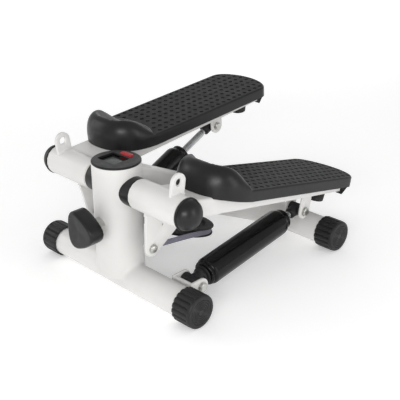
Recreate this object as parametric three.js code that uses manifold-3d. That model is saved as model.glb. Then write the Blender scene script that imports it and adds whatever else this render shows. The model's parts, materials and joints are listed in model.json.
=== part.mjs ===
// Mini stepper: a welded tube base with two foot plates that swing in opposite directions.
//
// Millimetres, +Z up, +Y towards the rear of the machine, +X to the user's right.
// While it is being modelled, y = 0 is the axis of the front cross tube and z = 0 is the floor.
// The machine stands as it is left after a step: right foot plate down, left foot plate up.

import * as THREE from "three";
import { mergeVertices } from "three/addons/utils/BufferGeometryUtils.js";
import Module from "manifold-3d";

const wasm = await Module();
wasm.setup();

const GAP = 0.3; // clearance between two pieces that touch on the real machine

// Sides of a round piece, by its size
const WIDE = 32;
const MEDIUM = 24;
const SMALL = 16;
const TINY = 12;

// Cross tubes of the base and their ribbed end caps
const TUBE_R = 24;
const TUBE_WALL = 2;
const CAP_R = 27.6;
const CAP_LENGTH = 36.5;
const CAP_END_WALL = 6.5;
const CAP_RIBS = 18;
const TUBE_BORE_R = TUBE_R + 0.7; // the cap's bore, faceted, still clears the tube
const FRONT_HALF = 180; // half the width over the caps
const REAR_HALF = 186;
const REAR_Y = 342;
const TUBE_Z = CAP_R;

// Column
const COLUMN_R = 38.5;
const COLUMN_WALL = 2.2;
const COLUMN_BOTTOM = 32; // its front and rear walls end at the cross tube's middle
const COLUMN_TOP = 217.5;

// Main beam, a rectangular tube from the column down to the rear cross tube
const BEAM_WIDTH = 46;
const BEAM_HEIGHT = 55;
const BEAM_WALL = 2.5;
const BEAM_ANGLE = THREE.MathUtils.degToRad(25.5);
const BEAM_START_Y = 18; // inside the column, before the saddle cut

// Pivot of both pedals
const PIVOT_Z = 179;
const SHAFT_R = 10;
const SHAFT_HALF = 150;
const SLEEVE_R = 24;
const SLEEVE_BORE = 22;
const SLEEVE_INNER_X = 52.7;
const SLEEVE_OUTER_X = 148.5;
const FLANGE = 1.5; // thickness of a bush's flange

// Pedals. Inside a pedal's group the pivot axis is the origin and the foot plate is level.
const PEDAL_LOW = THREE.MathUtils.degToRad(-12.6);
const PEDAL_HIGH = THREE.MathUtils.degToRad(4.7);
const PEDAL_STOP = THREE.MathUtils.degToRad(-15.1); // the rubber stop lands on the rear tube
const PEDAL_X = 104;
const PLATE_HALF = 63;
const PLATE_FRONT = 49;
const PLATE_REAR = 425.5;
const TOE_DEPTH = 74.5; // length of the rounded front end
const TOE_POWER = 2.5; // a little blunter than an ellipse
const HEEL_DEPTH = 33.5; // length of the rounded rear end
const TREAD_Z = 29;
const SKIRT_Z = 10;
const PLATE_SKIN = 3.2;
const TOE_Y = PLATE_FRONT + TOE_DEPTH; // the outline is straight from here
const HEEL_Y = PLATE_REAR - HEEL_DEPTH; // to here
const GUARD_HEIGHT = 33; // of the toe guard's crest above the tread
const GUARD_CREST = 0.74; // where the crest runs, from the toe's middle (0) to its outline (1)
const ARM_HALF = 40.5;
const ARM_WALL = 2;
const ARM_TOP = 24;
const ARM_REAR = 405;
const ARM_TIP = -5; // lower edge of the arm's sides at its rear end
const TAB_X = 127.3; // eye for an exercise band, on top of each sleeve
const TAB_THICK = 5;
const TAB_HALF = 13.75;
const TAB_EYE_Z = 40.6;
const TAB_LEAN = THREE.MathUtils.degToRad(4);

// Drive bracket, strap and pulley
const BRACKET_X = 82.6;
const BRACKET_THICK = 5;
const BOLT_Y = 10.3; // strap bolt, in the pedal's frame
const BOLT_Z = -77;
const STRAP_WIDTH = 9;
const STRAP_THICK = 2.2;
const STRAP_END_X = 76.3;
const PULLEY = new THREE.Vector3(0, 128, 68);
const PULLEY_TILT = THREE.MathUtils.degToRad(15.5);
const GROOVE_R = 56;
const PULLEY_R = 61;
const STRAP_R = GROOVE_R + GAP + STRAP_THICK / 2;

// Dampers. Inside a damper's group the lower pin is the origin and +Y runs along the rod.
const DAMPER_X = 114;
const LOWER_PIN = new THREE.Vector2(47.5, 32.3); // y, z
const UPPER_PIN = new THREE.Vector2(326, -39); // y, z in the pedal's frame
const CYLINDER_R = 23;
const CYLINDER_START = 40;
const CYLINDER_END = 226;
const ROD_R = 6.6;
const ROD_LENGTH = 182;
const EYE_REACH = 22; // from the upper pin to the end of the rod
const PISTON_LENGTH = 14;

// Step knob on the front of the column
const KNOB_Z = 125;
const KNOB_FRONT_Y = -81;
const KNOB_DEPTH = 24;

const paint = { color: 0xebe8e3, roughness: 0.42, metalness: 0.0 };
const plastic = { color: 0x2b2b2d, roughness: 0.62, metalness: 0.0 };
const rubber = { color: 0x1e1e1f, roughness: 0.85, metalness: 0.0 };
const blackGloss = { color: 0x0d0d0e, roughness: 0.18, metalness: 0.3 };
const chrome = { color: 0xd4d6d8, roughness: 0.12, metalness: 1.0 };
const zinc = { color: 0xb4b5b2, roughness: 0.35, metalness: 1.0 };
const nylon = { color: 0xdad8d0, roughness: 0.55, metalness: 0.0 };
const webbing = { color: 0x6e6c82, roughness: 0.8, metalness: 0.0 };
const bezel = { color: 0x111113, roughness: 0.3, metalness: 0.0 };
const screen = { color: 0x7d8480, roughness: 0.2, metalness: 0.0 };
const red = { color: 0xb4232b, roughness: 0.4, metalness: 0.0 };

const stepper = new THREE.Group();

function addPiece(parent, name, shape, finish) {
  const geometry = shape.isBufferGeometry ? shape : geometryOf(shape);
  const mesh = new THREE.Mesh(geometry, new THREE.MeshStandardMaterial(finish));
  mesh.name = name;
  parent.add(mesh);
  return mesh;
}

// ---- solids -------------------------------------------------------------------------------

function solidOf(geometry) {
  const bare = new THREE.BufferGeometry();
  bare.setAttribute("position", geometry.getAttribute("position"));
  bare.setIndex(geometry.index);
  const merged = mergeVertices(bare, 1e-4);
  const corners = [];
  for (let i = 0; i < merged.index.count; i += 3) {
    const [a, b, c] = [0, 1, 2].map((k) => merged.index.getX(i + k));
    if (a !== b && b !== c && c !== a) corners.push(a, b, c);
  }
  return new wasm.Manifold(
    new wasm.Mesh({
      numProp: 3,
      vertProperties: new Float32Array(merged.attributes.position.array),
      triVerts: new Uint32Array(corners),
    }),
  );
}

function geometryOf(solid) {
  const mesh = solid.getMesh();
  const geometry = new THREE.BufferGeometry();
  geometry.setAttribute("position", new THREE.BufferAttribute(mesh.vertProperties, 3));
  geometry.setIndex(new THREE.BufferAttribute(mesh.triVerts, 1));
  geometry.computeVertexNormals();
  return geometry;
}

function cut(body, ...tools) {
  return tools.reduce((left, tool) => left.subtract(tool), body);
}

function join(body, ...others) {
  return others.reduce((sum, other) => sum.add(other), body);
}

function block(x0, x1, y0, y1, z0, z1) {
  const box = new THREE.BoxGeometry(x1 - x0, y1 - y0, z1 - z0);
  box.translate((x0 + x1) / 2, (y0 + y1) / 2, (z0 + z1) / 2);
  return solidOf(box);
}

// A solid of revolution about +Y. The profile lists [radius, y] up the outside and, where the
// piece is hollow, back down the inside.
function turned(profile, segments = MEDIUM) {
  const points = profile.map(([r, y]) => new THREE.Vector2(r, y));
  if (points[0].x > 0) points.push(points[0].clone());
  return new THREE.LatheGeometry(points, segments);
}

function turnedX(profile, segments) {
  return turned(profile, segments).rotateZ(-Math.PI / 2);
}

function turnedZ(profile, segments) {
  return turned(profile, segments).rotateX(Math.PI / 2);
}

function rod(radius, from, to) {
  return [
    [0, from],
    [radius, from],
    [radius, to],
    [0, to],
  ];
}

function ring(outer, inner, from, to) {
  return [
    [outer, from],
    [outer, to],
    [inner, to],
    [inner, from],
  ];
}

function rodX(radius, x0, x1, y = 0, z = 0, segments = MEDIUM) {
  return solidOf(turnedX(rod(radius, x0, x1), segments).translate(0, y, z));
}

// A bolt along +X at the origin: head on the low side, nut on the high side.
function boltX(shankR, headR, x0, x1, headLength) {
  return turnedX(
    [
      [0, x0],
      [headR, x0],
      [headR, x0 + headLength],
      [shankR, x0 + headLength],
      [shankR, x1 - headLength],
      [headR, x1 - headLength],
      [headR, x1],
      [0, x1],
    ],
    TINY,
  );
}

// A flat plate standing in the Y-Z plane, from x0 to x1.
const PLATE_BASIS = new THREE.Matrix4().makeBasis(
  new THREE.Vector3(0, 1, 0),
  new THREE.Vector3(0, 0, 1),
  new THREE.Vector3(1, 0, 0),
);

function plateX(outline, x0, x1, curveSegments = 8) {
  const options = { depth: x1 - x0, bevelEnabled: false, curveSegments };
  const geometry = new THREE.ExtrudeGeometry(outline, options).applyMatrix4(PLATE_BASIS);
  return solidOf(geometry.translate(x0, 0, 0));
}

function polygon(points) {
  return new THREE.Shape(points.map(([a, b]) => new THREE.Vector2(a, b)));
}

// An ear: a strip from `top` down to a rounded end about (y, z), in the Y-Z plane.
function earShape(y, z, radius, top) {
  const ear = new THREE.Shape();
  ear.moveTo(y - radius, top);
  ear.lineTo(y - radius, z);
  ear.absarc(y, z, radius, Math.PI, 2 * Math.PI, false);
  ear.lineTo(y + radius, top);
  ear.closePath();
  return ear;
}

function pedalPoint(angle, y, z) {
  return new THREE.Vector2(y, z).rotateAround(new THREE.Vector2(), angle).add({ x: 0, y: PIVOT_Z });
}

// ---- base ---------------------------------------------------------------------------------

function crossTube(half) {
  const end = half - CAP_END_WALL - GAP;
  return turnedX(ring(TUBE_R, TUBE_R - TUBE_WALL, -end, end), WIDE);
}

// A cup that pushes over the tube's end, its outside ribbed so that one flat rib is underneath.
function footCap() {
  const ribHalf = 3.1;
  const grooveHalf = 1.6;
  const grooveR = CAP_R - 1.8;
  const points = [];
  for (let i = 0; i < CAP_RIBS; i += 1) {
    const middle = -Math.PI / 2 + (i * 2 * Math.PI) / CAP_RIBS;
    const next = middle + Math.PI / CAP_RIBS;
    const along = new THREE.Vector2(-Math.sin(middle), Math.cos(middle));
    const out = new THREE.Vector2(Math.cos(middle), Math.sin(middle)).multiplyScalar(CAP_R);
    const gapAlong = new THREE.Vector2(-Math.sin(next), Math.cos(next));
    const gapOut = new THREE.Vector2(Math.cos(next), Math.sin(next)).multiplyScalar(grooveR);
    points.push(out.clone().addScaledVector(along, -ribHalf));
    points.push(out.clone().addScaledVector(along, ribHalf));
    points.push(gapOut.clone().addScaledVector(gapAlong, -grooveHalf));
    points.push(gapOut.clone().addScaledVector(gapAlong, grooveHalf));
  }
  const ribbed = plateX(new THREE.Shape(points), 0, CAP_LENGTH);
  const bore = rodX(TUBE_BORE_R, -1, CAP_LENGTH - CAP_END_WALL);
  const dish = solidOf(turnedX(ring(18, 13, CAP_LENGTH - 1.5, CAP_LENGTH + 1), SMALL));
  return cut(ribbed, bore, dish);
}

function buildBase() {
  const rows = [
    ["front", 0, FRONT_HALF],
    ["rear", REAR_Y, REAR_HALF],
  ];
  for (const [row, y, half] of rows) {
    addPiece(stepper, `${row}_cross_tube`, crossTube(half), paint).position.set(0, y, TUBE_Z);
    for (const [side, sign] of [["right", 1], ["left", -1]]) {
      const cap = geometryOf(footCap()).translate(half - CAP_LENGTH, 0, 0);
      if (sign < 0) cap.rotateZ(Math.PI);
      addPiece(stepper, `${row}_${side}_foot_cap`, cap, plastic).position.set(0, y, TUBE_Z);
    }
  }
}

// ---- column and beam ----------------------------------------------------------------------

function buildColumn() {
  const wall = turnedZ(ring(COLUMN_R, COLUMN_R - COLUMN_WALL, COLUMN_BOTTOM, COLUMN_TOP), WIDE);
  const spindleHole = solidOf(turned(rod(6.4, -60, -20), SMALL).translate(0, 0, KNOB_Z));
  const column = cut(
    solidOf(wall),
    rodX(TUBE_R + GAP, -60, 60, 0, TUBE_Z, WIDE),
    rodX(SHAFT_R + GAP, -60, 60, 0, PIVOT_Z, SMALL),
    spindleHole,
  );
  addPiece(stepper, "column_tube", column, paint);
}

function beamCentreZ(y) {
  return TUBE_Z + (REAR_Y - y) * Math.tan(BEAM_ANGLE);
}

function buildBeam() {
  const length = (REAR_Y - BEAM_START_Y) / Math.cos(BEAM_ANGLE);
  const [w, h] = [BEAM_WIDTH / 2, BEAM_HEIGHT / 2];
  const outer = new THREE.BoxGeometry(2 * w, length, 2 * h);
  const inner = new THREE.BoxGeometry(2 * (w - BEAM_WALL), length + 2, 2 * (h - BEAM_WALL));
  const middleY = (BEAM_START_Y + REAR_Y) / 2;
  const place = (box) =>
    solidOf(box.rotateX(-BEAM_ANGLE).translate(0, middleY, beamCentreZ(middleY)));
  const columnCut = solidOf(turnedZ(rod(COLUMN_R + GAP, 0, 300), WIDE));
  const tubeCut = rodX(TUBE_R + GAP, -60, 60, REAR_Y, TUBE_Z, WIDE);
  addPiece(stepper, "main_beam", cut(place(outer), place(inner), columnCut, tubeCut), paint);
}

// ---- pivot shaft --------------------------------------------------------------------------

function buildShaft() {
  const shaft = turnedX(rod(SHAFT_R, -SHAFT_HALF, SHAFT_HALF), SMALL);
  addPiece(stepper, "pivot_shaft", shaft, zinc).position.z = PIVOT_Z;
  const columnCut = solidOf(turnedZ(rod(COLUMN_R + GAP, 0, 300), WIDE));
  const collarEnd = SLEEVE_INNER_X - 2 * GAP - FLANGE;
  const start = SHAFT_HALF + GAP;
  for (const [side, sign] of [["right", 1], ["left", -1]]) {
    const blank = turnedX(ring(SLEEVE_R - 0.4, SHAFT_R + GAP, 28, collarEnd), MEDIUM);
    const collar = geometryOf(cut(solidOf(blank.translate(0, 0, PIVOT_Z)), columnCut));
    if (sign < 0) collar.rotateZ(Math.PI);
    addPiece(stepper, `${side}_pivot_collar`, collar, plastic);
    const retainer = turnedX([
      [0, start],
      [15, start],
      [15, start + 2],
      [6.5, start + 2],
      [6.5, start + 6.2],
      [0, start + 6.2],
    ], TINY);
    if (sign < 0) retainer.rotateZ(Math.PI);
    addPiece(stepper, `${side}_shaft_retainer`, retainer, zinc).position.z = PIVOT_Z;
  }
}

// ---- console ------------------------------------------------------------------------------

const CONSOLE_TOP = COLUMN_TOP + GAP + 2.8;
const WINDOW = { x: -5.5, y: -1, width: 38, depth: 31 };
const BUTTON = { x: -3, y: 24, length: 25.5, width: 10.5 };

function stadium(length, width, x, y) {
  const r = width / 2;
  const reach = length / 2 - r;
  const shape = new THREE.Shape();
  shape.absarc(x + reach, y, r, -Math.PI / 2, Math.PI / 2, false);
  shape.absarc(x - reach, y, r, Math.PI / 2, (3 * Math.PI) / 2, false);
  shape.closePath();
  return shape;
}

function uprightStadium(length, width, z0, z1) {
  const shape = stadium(length, width, BUTTON.x, BUTTON.y);
  const options = { depth: z1 - z0, bevelEnabled: false, curveSegments: 6 };
  return solidOf(new THREE.ExtrudeGeometry(shape, options).translate(0, 0, z0));
}

function windowBlock(grow, z0, z1) {
  const [hx, hy] = [WINDOW.width / 2 + grow, WINDOW.depth / 2 + grow];
  return block(WINDOW.x - hx, WINDOW.x + hx, WINDOW.y - hy, WINDOW.y + hy, z0, z1);
}

function buildConsole() {
  const under = COLUMN_TOP + GAP;
  const chamfer = 1;
  const lid = turnedZ([
    [0, under],
    [COLUMN_R, under],
    [COLUMN_R, CONSOLE_TOP - chamfer],
    [COLUMN_R - chamfer, CONSOLE_TOP],
    [0, CONSOLE_TOP],
  ], WIDE);
  const spigotR = COLUMN_R - COLUMN_WALL - GAP;
  const spigot = turnedZ(ring(spigotR, spigotR - 1.4, under - 18, under + 1), WIDE);
  const housing = cut(
    join(solidOf(lid), solidOf(spigot)),
    windowBlock(0, under - 1, CONSOLE_TOP + 1),
    uprightStadium(BUTTON.length + 0.8, BUTTON.width + 0.8, under - 1, CONSOLE_TOP + 1),
  );
  addPiece(stepper, "console_housing", housing, bezel);
  const module = join(windowBlock(2, under - 16, under - 2), windowBlock(-0.5, under - 3, under - 1));
  addPiece(stepper, "console_display", module, screen);
  const button = join(
    uprightStadium(BUTTON.length, BUTTON.width, under - 2, CONSOLE_TOP + 2),
    uprightStadium(BUTTON.length + 2, BUTTON.width + 2, under - 4, under - GAP),
  );
  addPiece(stepper, "console_button", button, red);
}

// ---- step knob ----------------------------------------------------------------------------

function buildKnob() {
  const points = [];
  for (let i = 0; i < 42; i += 1) {
    const turn = (i * 2 * Math.PI) / 42;
    const r = 26 + 3.6 * Math.cos(3 * turn) + 0.5 * Math.cos(6 * turn);
    points.push(new THREE.Vector2(r * Math.cos(turn), r * Math.sin(turn)));
  }
  const bevel = 3;
  const lobes = new THREE.ExtrudeGeometry(new THREE.Shape(points), {
    depth: KNOB_DEPTH - 2 * bevel,
    bevelThickness: bevel,
    bevelSize: bevel,
    bevelSegments: 2,
    curveSegments: 1,
  });
  lobes.translate(0, 0, bevel).rotateX(-Math.PI / 2).translate(0, KNOB_FRONT_Y, 0);
  const socket = solidOf(turned(rod(6 + GAP, KNOB_FRONT_Y + 10, 0), SMALL));
  addPiece(stepper, "step_knob", cut(solidOf(lobes), socket), plastic).position.z = KNOB_Z;
  const spindle = turned(rod(6, KNOB_FRONT_Y + 10 + GAP, 14), SMALL);
  addPiece(stepper, "knob_spindle", spindle, zinc).position.z = KNOB_Z;
  const nut = turned(ring(11, 6 + GAP, -53, -30), SMALL).translate(0, 0, KNOB_Z);
  const columnCut = solidOf(turnedZ(rod(COLUMN_R + GAP, 0, 300), WIDE));
  addPiece(stepper, "spindle_nut", cut(solidOf(nut), columnCut), zinc);
}

// ---- pulley and strap ---------------------------------------------------------------------

function pulleyPlane(y, z) {
  const dy = y - PULLEY.y;
  const dz = z - PULLEY.z;
  return [
    dy * Math.cos(PULLEY_TILT) - dz * Math.sin(PULLEY_TILT),
    dy * Math.sin(PULLEY_TILT) + dz * Math.cos(PULLEY_TILT),
  ];
}

// One side of the strap in the pulley's frame: from the bolt, past the flange, to the groove.
function strapRun(sign, pedalAngle) {
  const bolt = pedalPoint(pedalAngle, BOLT_Y, BOLT_Z);
  const [v, w] = pulleyPlane(bolt.x, bolt.y);
  const end = new THREE.Vector3(STRAP_END_X, v, w);
  const reach = Math.hypot(STRAP_END_X, v);
  const touch = Math.atan2(v, STRAP_END_X) + Math.acos(STRAP_R / reach);
  const tangent = new THREE.Vector3(STRAP_R * Math.cos(touch), STRAP_R * Math.sin(touch), 0);
  const run = end.clone().sub(tangent);
  const clear = tangent.clone().addScaledVector(run.clone().setZ(0).normalize(), 24);
  const tail = end.clone().addScaledVector(run.normalize(), 7);
  const mirror = new THREE.Vector3(sign, 1, 1);
  const points = [tail, clear, tangent].map((point) => point.multiply(mirror));
  return { points, touch, bolt };
}

function buildStrap() {
  const right = strapRun(1, PEDAL_LOW);
  const left = strapRun(-1, PEDAL_HIGH);
  const route = [...right.points];
  const steps = 16;
  const [from, to] = [right.touch, Math.PI - left.touch];
  for (let i = 1; i < steps; i += 1) {
    const turn = from + ((to - from) * i) / steps;
    route.push(new THREE.Vector3(STRAP_R * Math.cos(turn), STRAP_R * Math.sin(turn), 0));
  }
  route.push(...left.points.reverse());
  const corners = [];
  route.forEach((point, i) => {
    const ahead = route[Math.min(i + 1, route.length - 1)];
    const behind = route[Math.max(i - 1, 0)];
    const along = ahead.clone().sub(behind).setZ(0).normalize();
    const out = new THREE.Vector3(along.y, -along.x, 0);
    for (const [side, level] of [[1, -1], [1, 1], [-1, 1], [-1, -1]]) {
      const corner = point.clone().addScaledVector(out, (side * STRAP_THICK) / 2);
      corner.z += (level * STRAP_WIDTH) / 2;
      corners.push(corner);
    }
  });
  const faces = [0, 1, 2, 0, 2, 3];
  for (let i = 0; i + 1 < route.length; i += 1) {
    for (let k = 0; k < 4; k += 1) {
      const [a, b] = [4 * i + k, 4 * i + ((k + 1) % 4)];
      faces.push(a, a + 4, b + 4, a, b + 4, b);
    }
  }
  const last = 4 * (route.length - 1);
  faces.push(last, last + 2, last + 1, last, last + 3, last + 2);
  const ribbon = new THREE.BufferGeometry().setFromPoints(corners).setIndex(faces);
  ribbon.rotateX(-PULLEY_TILT).translate(PULLEY.x, PULLEY.y, PULLEY.z);
  const holes = [right, left].map(({ bolt }) => rodX(3.3, -95, 95, bolt.x, bolt.y, TINY));
  addPiece(stepper, "drive_strap", cut(solidOf(ribbon), ...holes), webbing);
}

function buildPulley() {
  const tilted = new THREE.Group();
  tilted.position.copy(PULLEY);
  tilted.rotation.x = -PULLEY_TILT;
  stepper.add(tilted);
  const wheel = solidOf(
    turnedZ([
      [14, -7],
      [14, -3],
      [47, -3],
      [47, -6.5],
      [PULLEY_R, -6.5],
      [PULLEY_R, -5],
      [GROOVE_R, -5],
      [GROOVE_R, 5],
      [PULLEY_R, 5],
      [PULLEY_R, 6.5],
      [47, 6.5],
      [47, 3],
      [14, 3],
      [14, 7],
      [6.3, 7],
      [6.3, -7],
    ], WIDE),
  );
  const holes = [];
  for (let i = 0; i < 6; i += 1) {
    const turn = (i * Math.PI) / 3;
    const hole = turnedZ(rod(8.5, -10, 10), 10);
    holes.push(solidOf(hole.translate(31 * Math.cos(turn), 31 * Math.sin(turn), 0)));
  }
  addPiece(tilted, "drive_pulley", cut(wheel, ...holes), plastic);
  const axle = turnedZ([
    [0, -12],
    [9, -12],
    [9, -7.5],
    [6, -7.5],
    [6, 11.4],
    [9, 11.4],
    [9, 17],
    [0, 17],
  ], TINY);
  addPiece(tilted, "pulley_axle", axle, zinc);
  const hanger = new THREE.Matrix4().makeRotationX(-PULLEY_TILT).setPosition(PULLEY);
  const corner = (v, w) => new THREE.Vector3(0, v, w).applyMatrix4(hanger);
  const outline = (level) => {
    const [front, rear] = [corner(-24, level), corner(24, level)];
    const top = (y) => beamCentreZ(y) - (BEAM_HEIGHT / 2 + GAP) / Math.cos(BEAM_ANGLE);
    return polygon([
      [front.y, front.z],
      [rear.y, rear.z],
      [rear.y, top(rear.y)],
      [front.y, top(front.y)],
    ]);
  };
  const channel = cut(plateX(outline(8), -21, 21), plateX(outline(11), -18, 18));
  const axleHole = solidOf(turnedZ(rod(6.3, 0, 14), SMALL).applyMatrix4(hanger));
  addPiece(stepper, "pulley_hanger", cut(channel, axleHole), paint);
}

// ---- pedals -------------------------------------------------------------------------------

// Half the foot plate's width at y, with its outline pulled in by `inset`.
function plateHalfWidth(y, inset) {
  const [end, power] = y < TOE_Y ? [TOE_Y - y, TOE_POWER] : [Math.max(0, y - HEEL_Y), 2];
  const t = end / ((y < TOE_Y ? TOE_DEPTH : HEEL_DEPTH) - inset);
  return (PLATE_HALF - inset) * Math.pow(Math.max(0, 1 - t ** power), 1 / power);
}

// Height of the foot plate's top: a flat tread behind a horseshoe ridge that guards the toes.
// The ridge is highest round the front and fades out along the sides.
function plateTop(x, y, inset) {
  const ahead = (TOE_Y - y) / (TOE_DEPTH - inset);
  if (ahead <= 0) return TREAD_Z;
  const aside = Math.abs(x) / (PLATE_HALF - inset);
  const reach = Math.min(1, Math.pow(aside ** TOE_POWER + ahead ** TOE_POWER, 1 / TOE_POWER));
  const turn = Math.atan2(aside, ahead) / (Math.PI / 2);
  const fade = Math.max(0, (turn - 0.42) / 0.58);
  const wall = (reach - GUARD_CREST) / (1 - GUARD_CREST);
  const profile = wall > 0 ? Math.sqrt(Math.max(0, 1 - wall * wall)) : (reach / GUARD_CREST) ** 2;
  return TREAD_Z + GUARD_HEIGHT * (1 - fade * fade) * profile;
}

// y of the foot plate's cross-sections, closer together round the toe and the heel.
function plateStations(inset) {
  const stations = [];
  for (let a = 7; a < 90; a += 10) {
    stations.push(TOE_Y - (TOE_DEPTH - inset) * Math.cos(THREE.MathUtils.degToRad(a)));
  }
  stations.push(TOE_Y, HEEL_Y);
  for (let a = 75; a > 5; a -= 14) {
    stations.push(HEEL_Y + (HEEL_DEPTH - inset) * Math.cos(THREE.MathUtils.degToRad(a)));
  }
  return stations;
}

// Cross-sections of the foot plate lofted from toe to heel, pulled in by `inset` for its inside.
function plateLoft(inset, bottom, drop) {
  const columns = 13;
  const stations = plateStations(inset);
  const corners = [];
  for (const y of stations) {
    const half = plateHalfWidth(y, inset);
    corners.push(new THREE.Vector3(-half, y, bottom), new THREE.Vector3(half, y, bottom));
    for (let k = 0; k < columns; k += 1) {
      const x = half * Math.cos((Math.PI * k) / (columns - 1));
      corners.push(new THREE.Vector3(x, y, plateTop(x, y, inset) - drop));
    }
  }
  const count = columns + 2;
  const faces = [];
  for (let i = 0; i + 1 < stations.length; i += 1) {
    for (let k = 0; k < count; k += 1) {
      const [a, b] = [count * i + k, count * i + ((k + 1) % count)];
      faces.push(a, b + count, b, a, a + count, b + count);
    }
  }
  const last = count * (stations.length - 1);
  for (let k = 1; k + 1 < count; k += 1) {
    faces.push(0, k, k + 1);
    faces.push(last, last + k + 1, last + k);
  }
  return solidOf(new THREE.BufferGeometry().setFromPoints(corners).setIndex(faces));
}

// The wedge under the heel, just behind the end of the arm.
function heelWedge() {
  const [front, low, rear] = [ARM_REAR + 1, -10.5, PLATE_REAR - 0.5];
  const outline = polygon([
    [front, SKIRT_Z + 3],
    [front, low + 1],
    [front + 2, low],
    [rear, SKIRT_Z - 0.5],
    [rear, SKIRT_Z + 3],
  ]);
  return plateX(outline, -45, 45).intersect(plateLoft(0.5, low - 1, 0));
}

function footplate() {
  const shell = cut(plateLoft(0, SKIRT_Z, 0), plateLoft(PLATE_SKIN, SKIRT_Z - 1, 4));
  const armSlot = block(-ARM_HALF - GAP, ARM_HALF + GAP, 40, 100, SKIRT_Z - 1, ARM_TOP + GAP);
  return geometryOf(join(cut(shell, armSlot), heelWedge()));
}

// The folded channel that carries the foot plate, open underneath and cut to the sleeve. Its
// top has a slot for the band tab.
function armTray(sign) {
  const side = (top) =>
    polygon([
      [6, top],
      [6, -12],
      [ARM_REAR, ARM_TIP],
      [ARM_REAR, top],
    ]);
  const inside = polygon([
    [0, ARM_TOP - ARM_WALL],
    [0, -20],
    [ARM_REAR + 5, -20],
    [ARM_REAR + 5, ARM_TOP - ARM_WALL],
  ]);
  const inner = ARM_HALF - ARM_WALL;
  const tab = sign * (TAB_X - PEDAL_X);
  const slot = TAB_THICK / 2 + GAP;
  return geometryOf(
    cut(
      plateX(side(ARM_TOP), -ARM_HALF, ARM_HALF),
      plateX(inside, -inner, inner),
      block(tab - slot, tab + slot, 0, 14, 15, ARM_TOP + 1),
      rodX(SLEEVE_R + GAP, -60, 60, 0, 0, WIDE),
    ),
  );
}

// The gusset plate under each arm that the strap pulls on.
function driveBracket() {
  const top = ARM_TOP - ARM_WALL - GAP;
  const [from, to] = [200, 318].map(THREE.MathUtils.degToRad);
  const outline = new THREE.Shape();
  outline.moveTo(-15, -14);
  outline.absarc(BOLT_Y, BOLT_Z, 13.4, from, to, false);
  outline.lineTo(98, -8);
  outline.lineTo(98, top);
  outline.lineTo(0, top);
  outline.closePath();
  const half = BRACKET_THICK / 2;
  const plate = plateX(outline, -half, half);
  const sleeveCut = rodX(SLEEVE_R + GAP, -5, 5, 0, 0, WIDE);
  const boltHole = rodX(3.3, -5, 5, BOLT_Y, BOLT_Z, TINY);
  const smallHole = rodX(2, -5, 5, 24, -40, 8);
  return geometryOf(cut(plate, sleeveCut, boltHole, smallHole));
}

function bandTab() {
  const outline = new THREE.Shape();
  outline.moveTo(TAB_HALF, 12);
  outline.absarc(0, TAB_EYE_Z, TAB_HALF, 0, Math.PI, false);
  outline.lineTo(-TAB_HALF, 12);
  outline.closePath();
  const upright = cut(
    plateX(outline, -TAB_THICK / 2, TAB_THICK / 2),
    rodX(6, -5, 5, 0, TAB_EYE_Z, SMALL),
  );
  const leaning = geometryOf(upright).rotateX(TAB_LEAN);
  return geometryOf(cut(solidOf(leaning), rodX(SLEEVE_R + GAP, -5, 5, 0, 0, WIDE)));
}

function upperClevis() {
  const top = ARM_TOP - ARM_WALL - GAP;
  const [inner, outer] = [13.5, 16.5];
  const ear = earShape(UPPER_PIN.x, UPPER_PIN.y, 14, top);
  const solid = cut(
    plateX(ear, -outer, outer),
    block(-inner, inner, UPPER_PIN.x - 30, UPPER_PIN.x + 30, -80, top - 3),
    rodX(4.3, -30, 30, UPPER_PIN.x, UPPER_PIN.y, TINY),
  );
  return geometryOf(solid);
}

// The rubber stop that lands on the rear cross tube at the end of the pedal's travel.
function stopBumper() {
  const tube = new THREE.Vector2(REAR_Y, TUBE_Z - PIVOT_Z);
  tube.rotateAround(new THREE.Vector2(), -PEDAL_STOP);
  const foot = tube.y + TUBE_R + 0.45;
  const top = ARM_TOP - ARM_WALL - GAP;
  const profile = [
    [0, foot],
    [13.5, foot],
    [15.5, foot + 18],
    [13, foot + 20],
    [6, foot + 20],
    [6, top],
    [0, top],
  ];
  return turnedZ(profile, SMALL).translate(0, tube.x + 25, 0);
}

// The rounded plug on the end of a sleeve, hollow, with a flange that meets the bush.
function endDome() {
  const [flangeR, flangeEnd, rise, skin] = [25, 2.4, 20, 2.6];
  const arc = (radius, base, height, step) => {
    const points = [];
    for (let a = 0; a < 90; a += step) {
      const t = THREE.MathUtils.degToRad(a);
      points.push([radius * Math.cos(t), base + height * Math.sin(t)]);
    }
    points.push([0, base + height]);
    return points;
  };
  const outside = arc(SLEEVE_R - 0.4, flangeEnd, rise, 18);
  const inside = arc(SLEEVE_R - 0.4 - skin, 2, rise - skin + 0.6, 30);
  const rim = [
    [SLEEVE_R - 0.4 - skin, GAP],
    [flangeR, GAP],
    [flangeR, flangeEnd],
  ];
  return turnedX([...rim, ...outside, ...inside.reverse()], MEDIUM);
}

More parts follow.
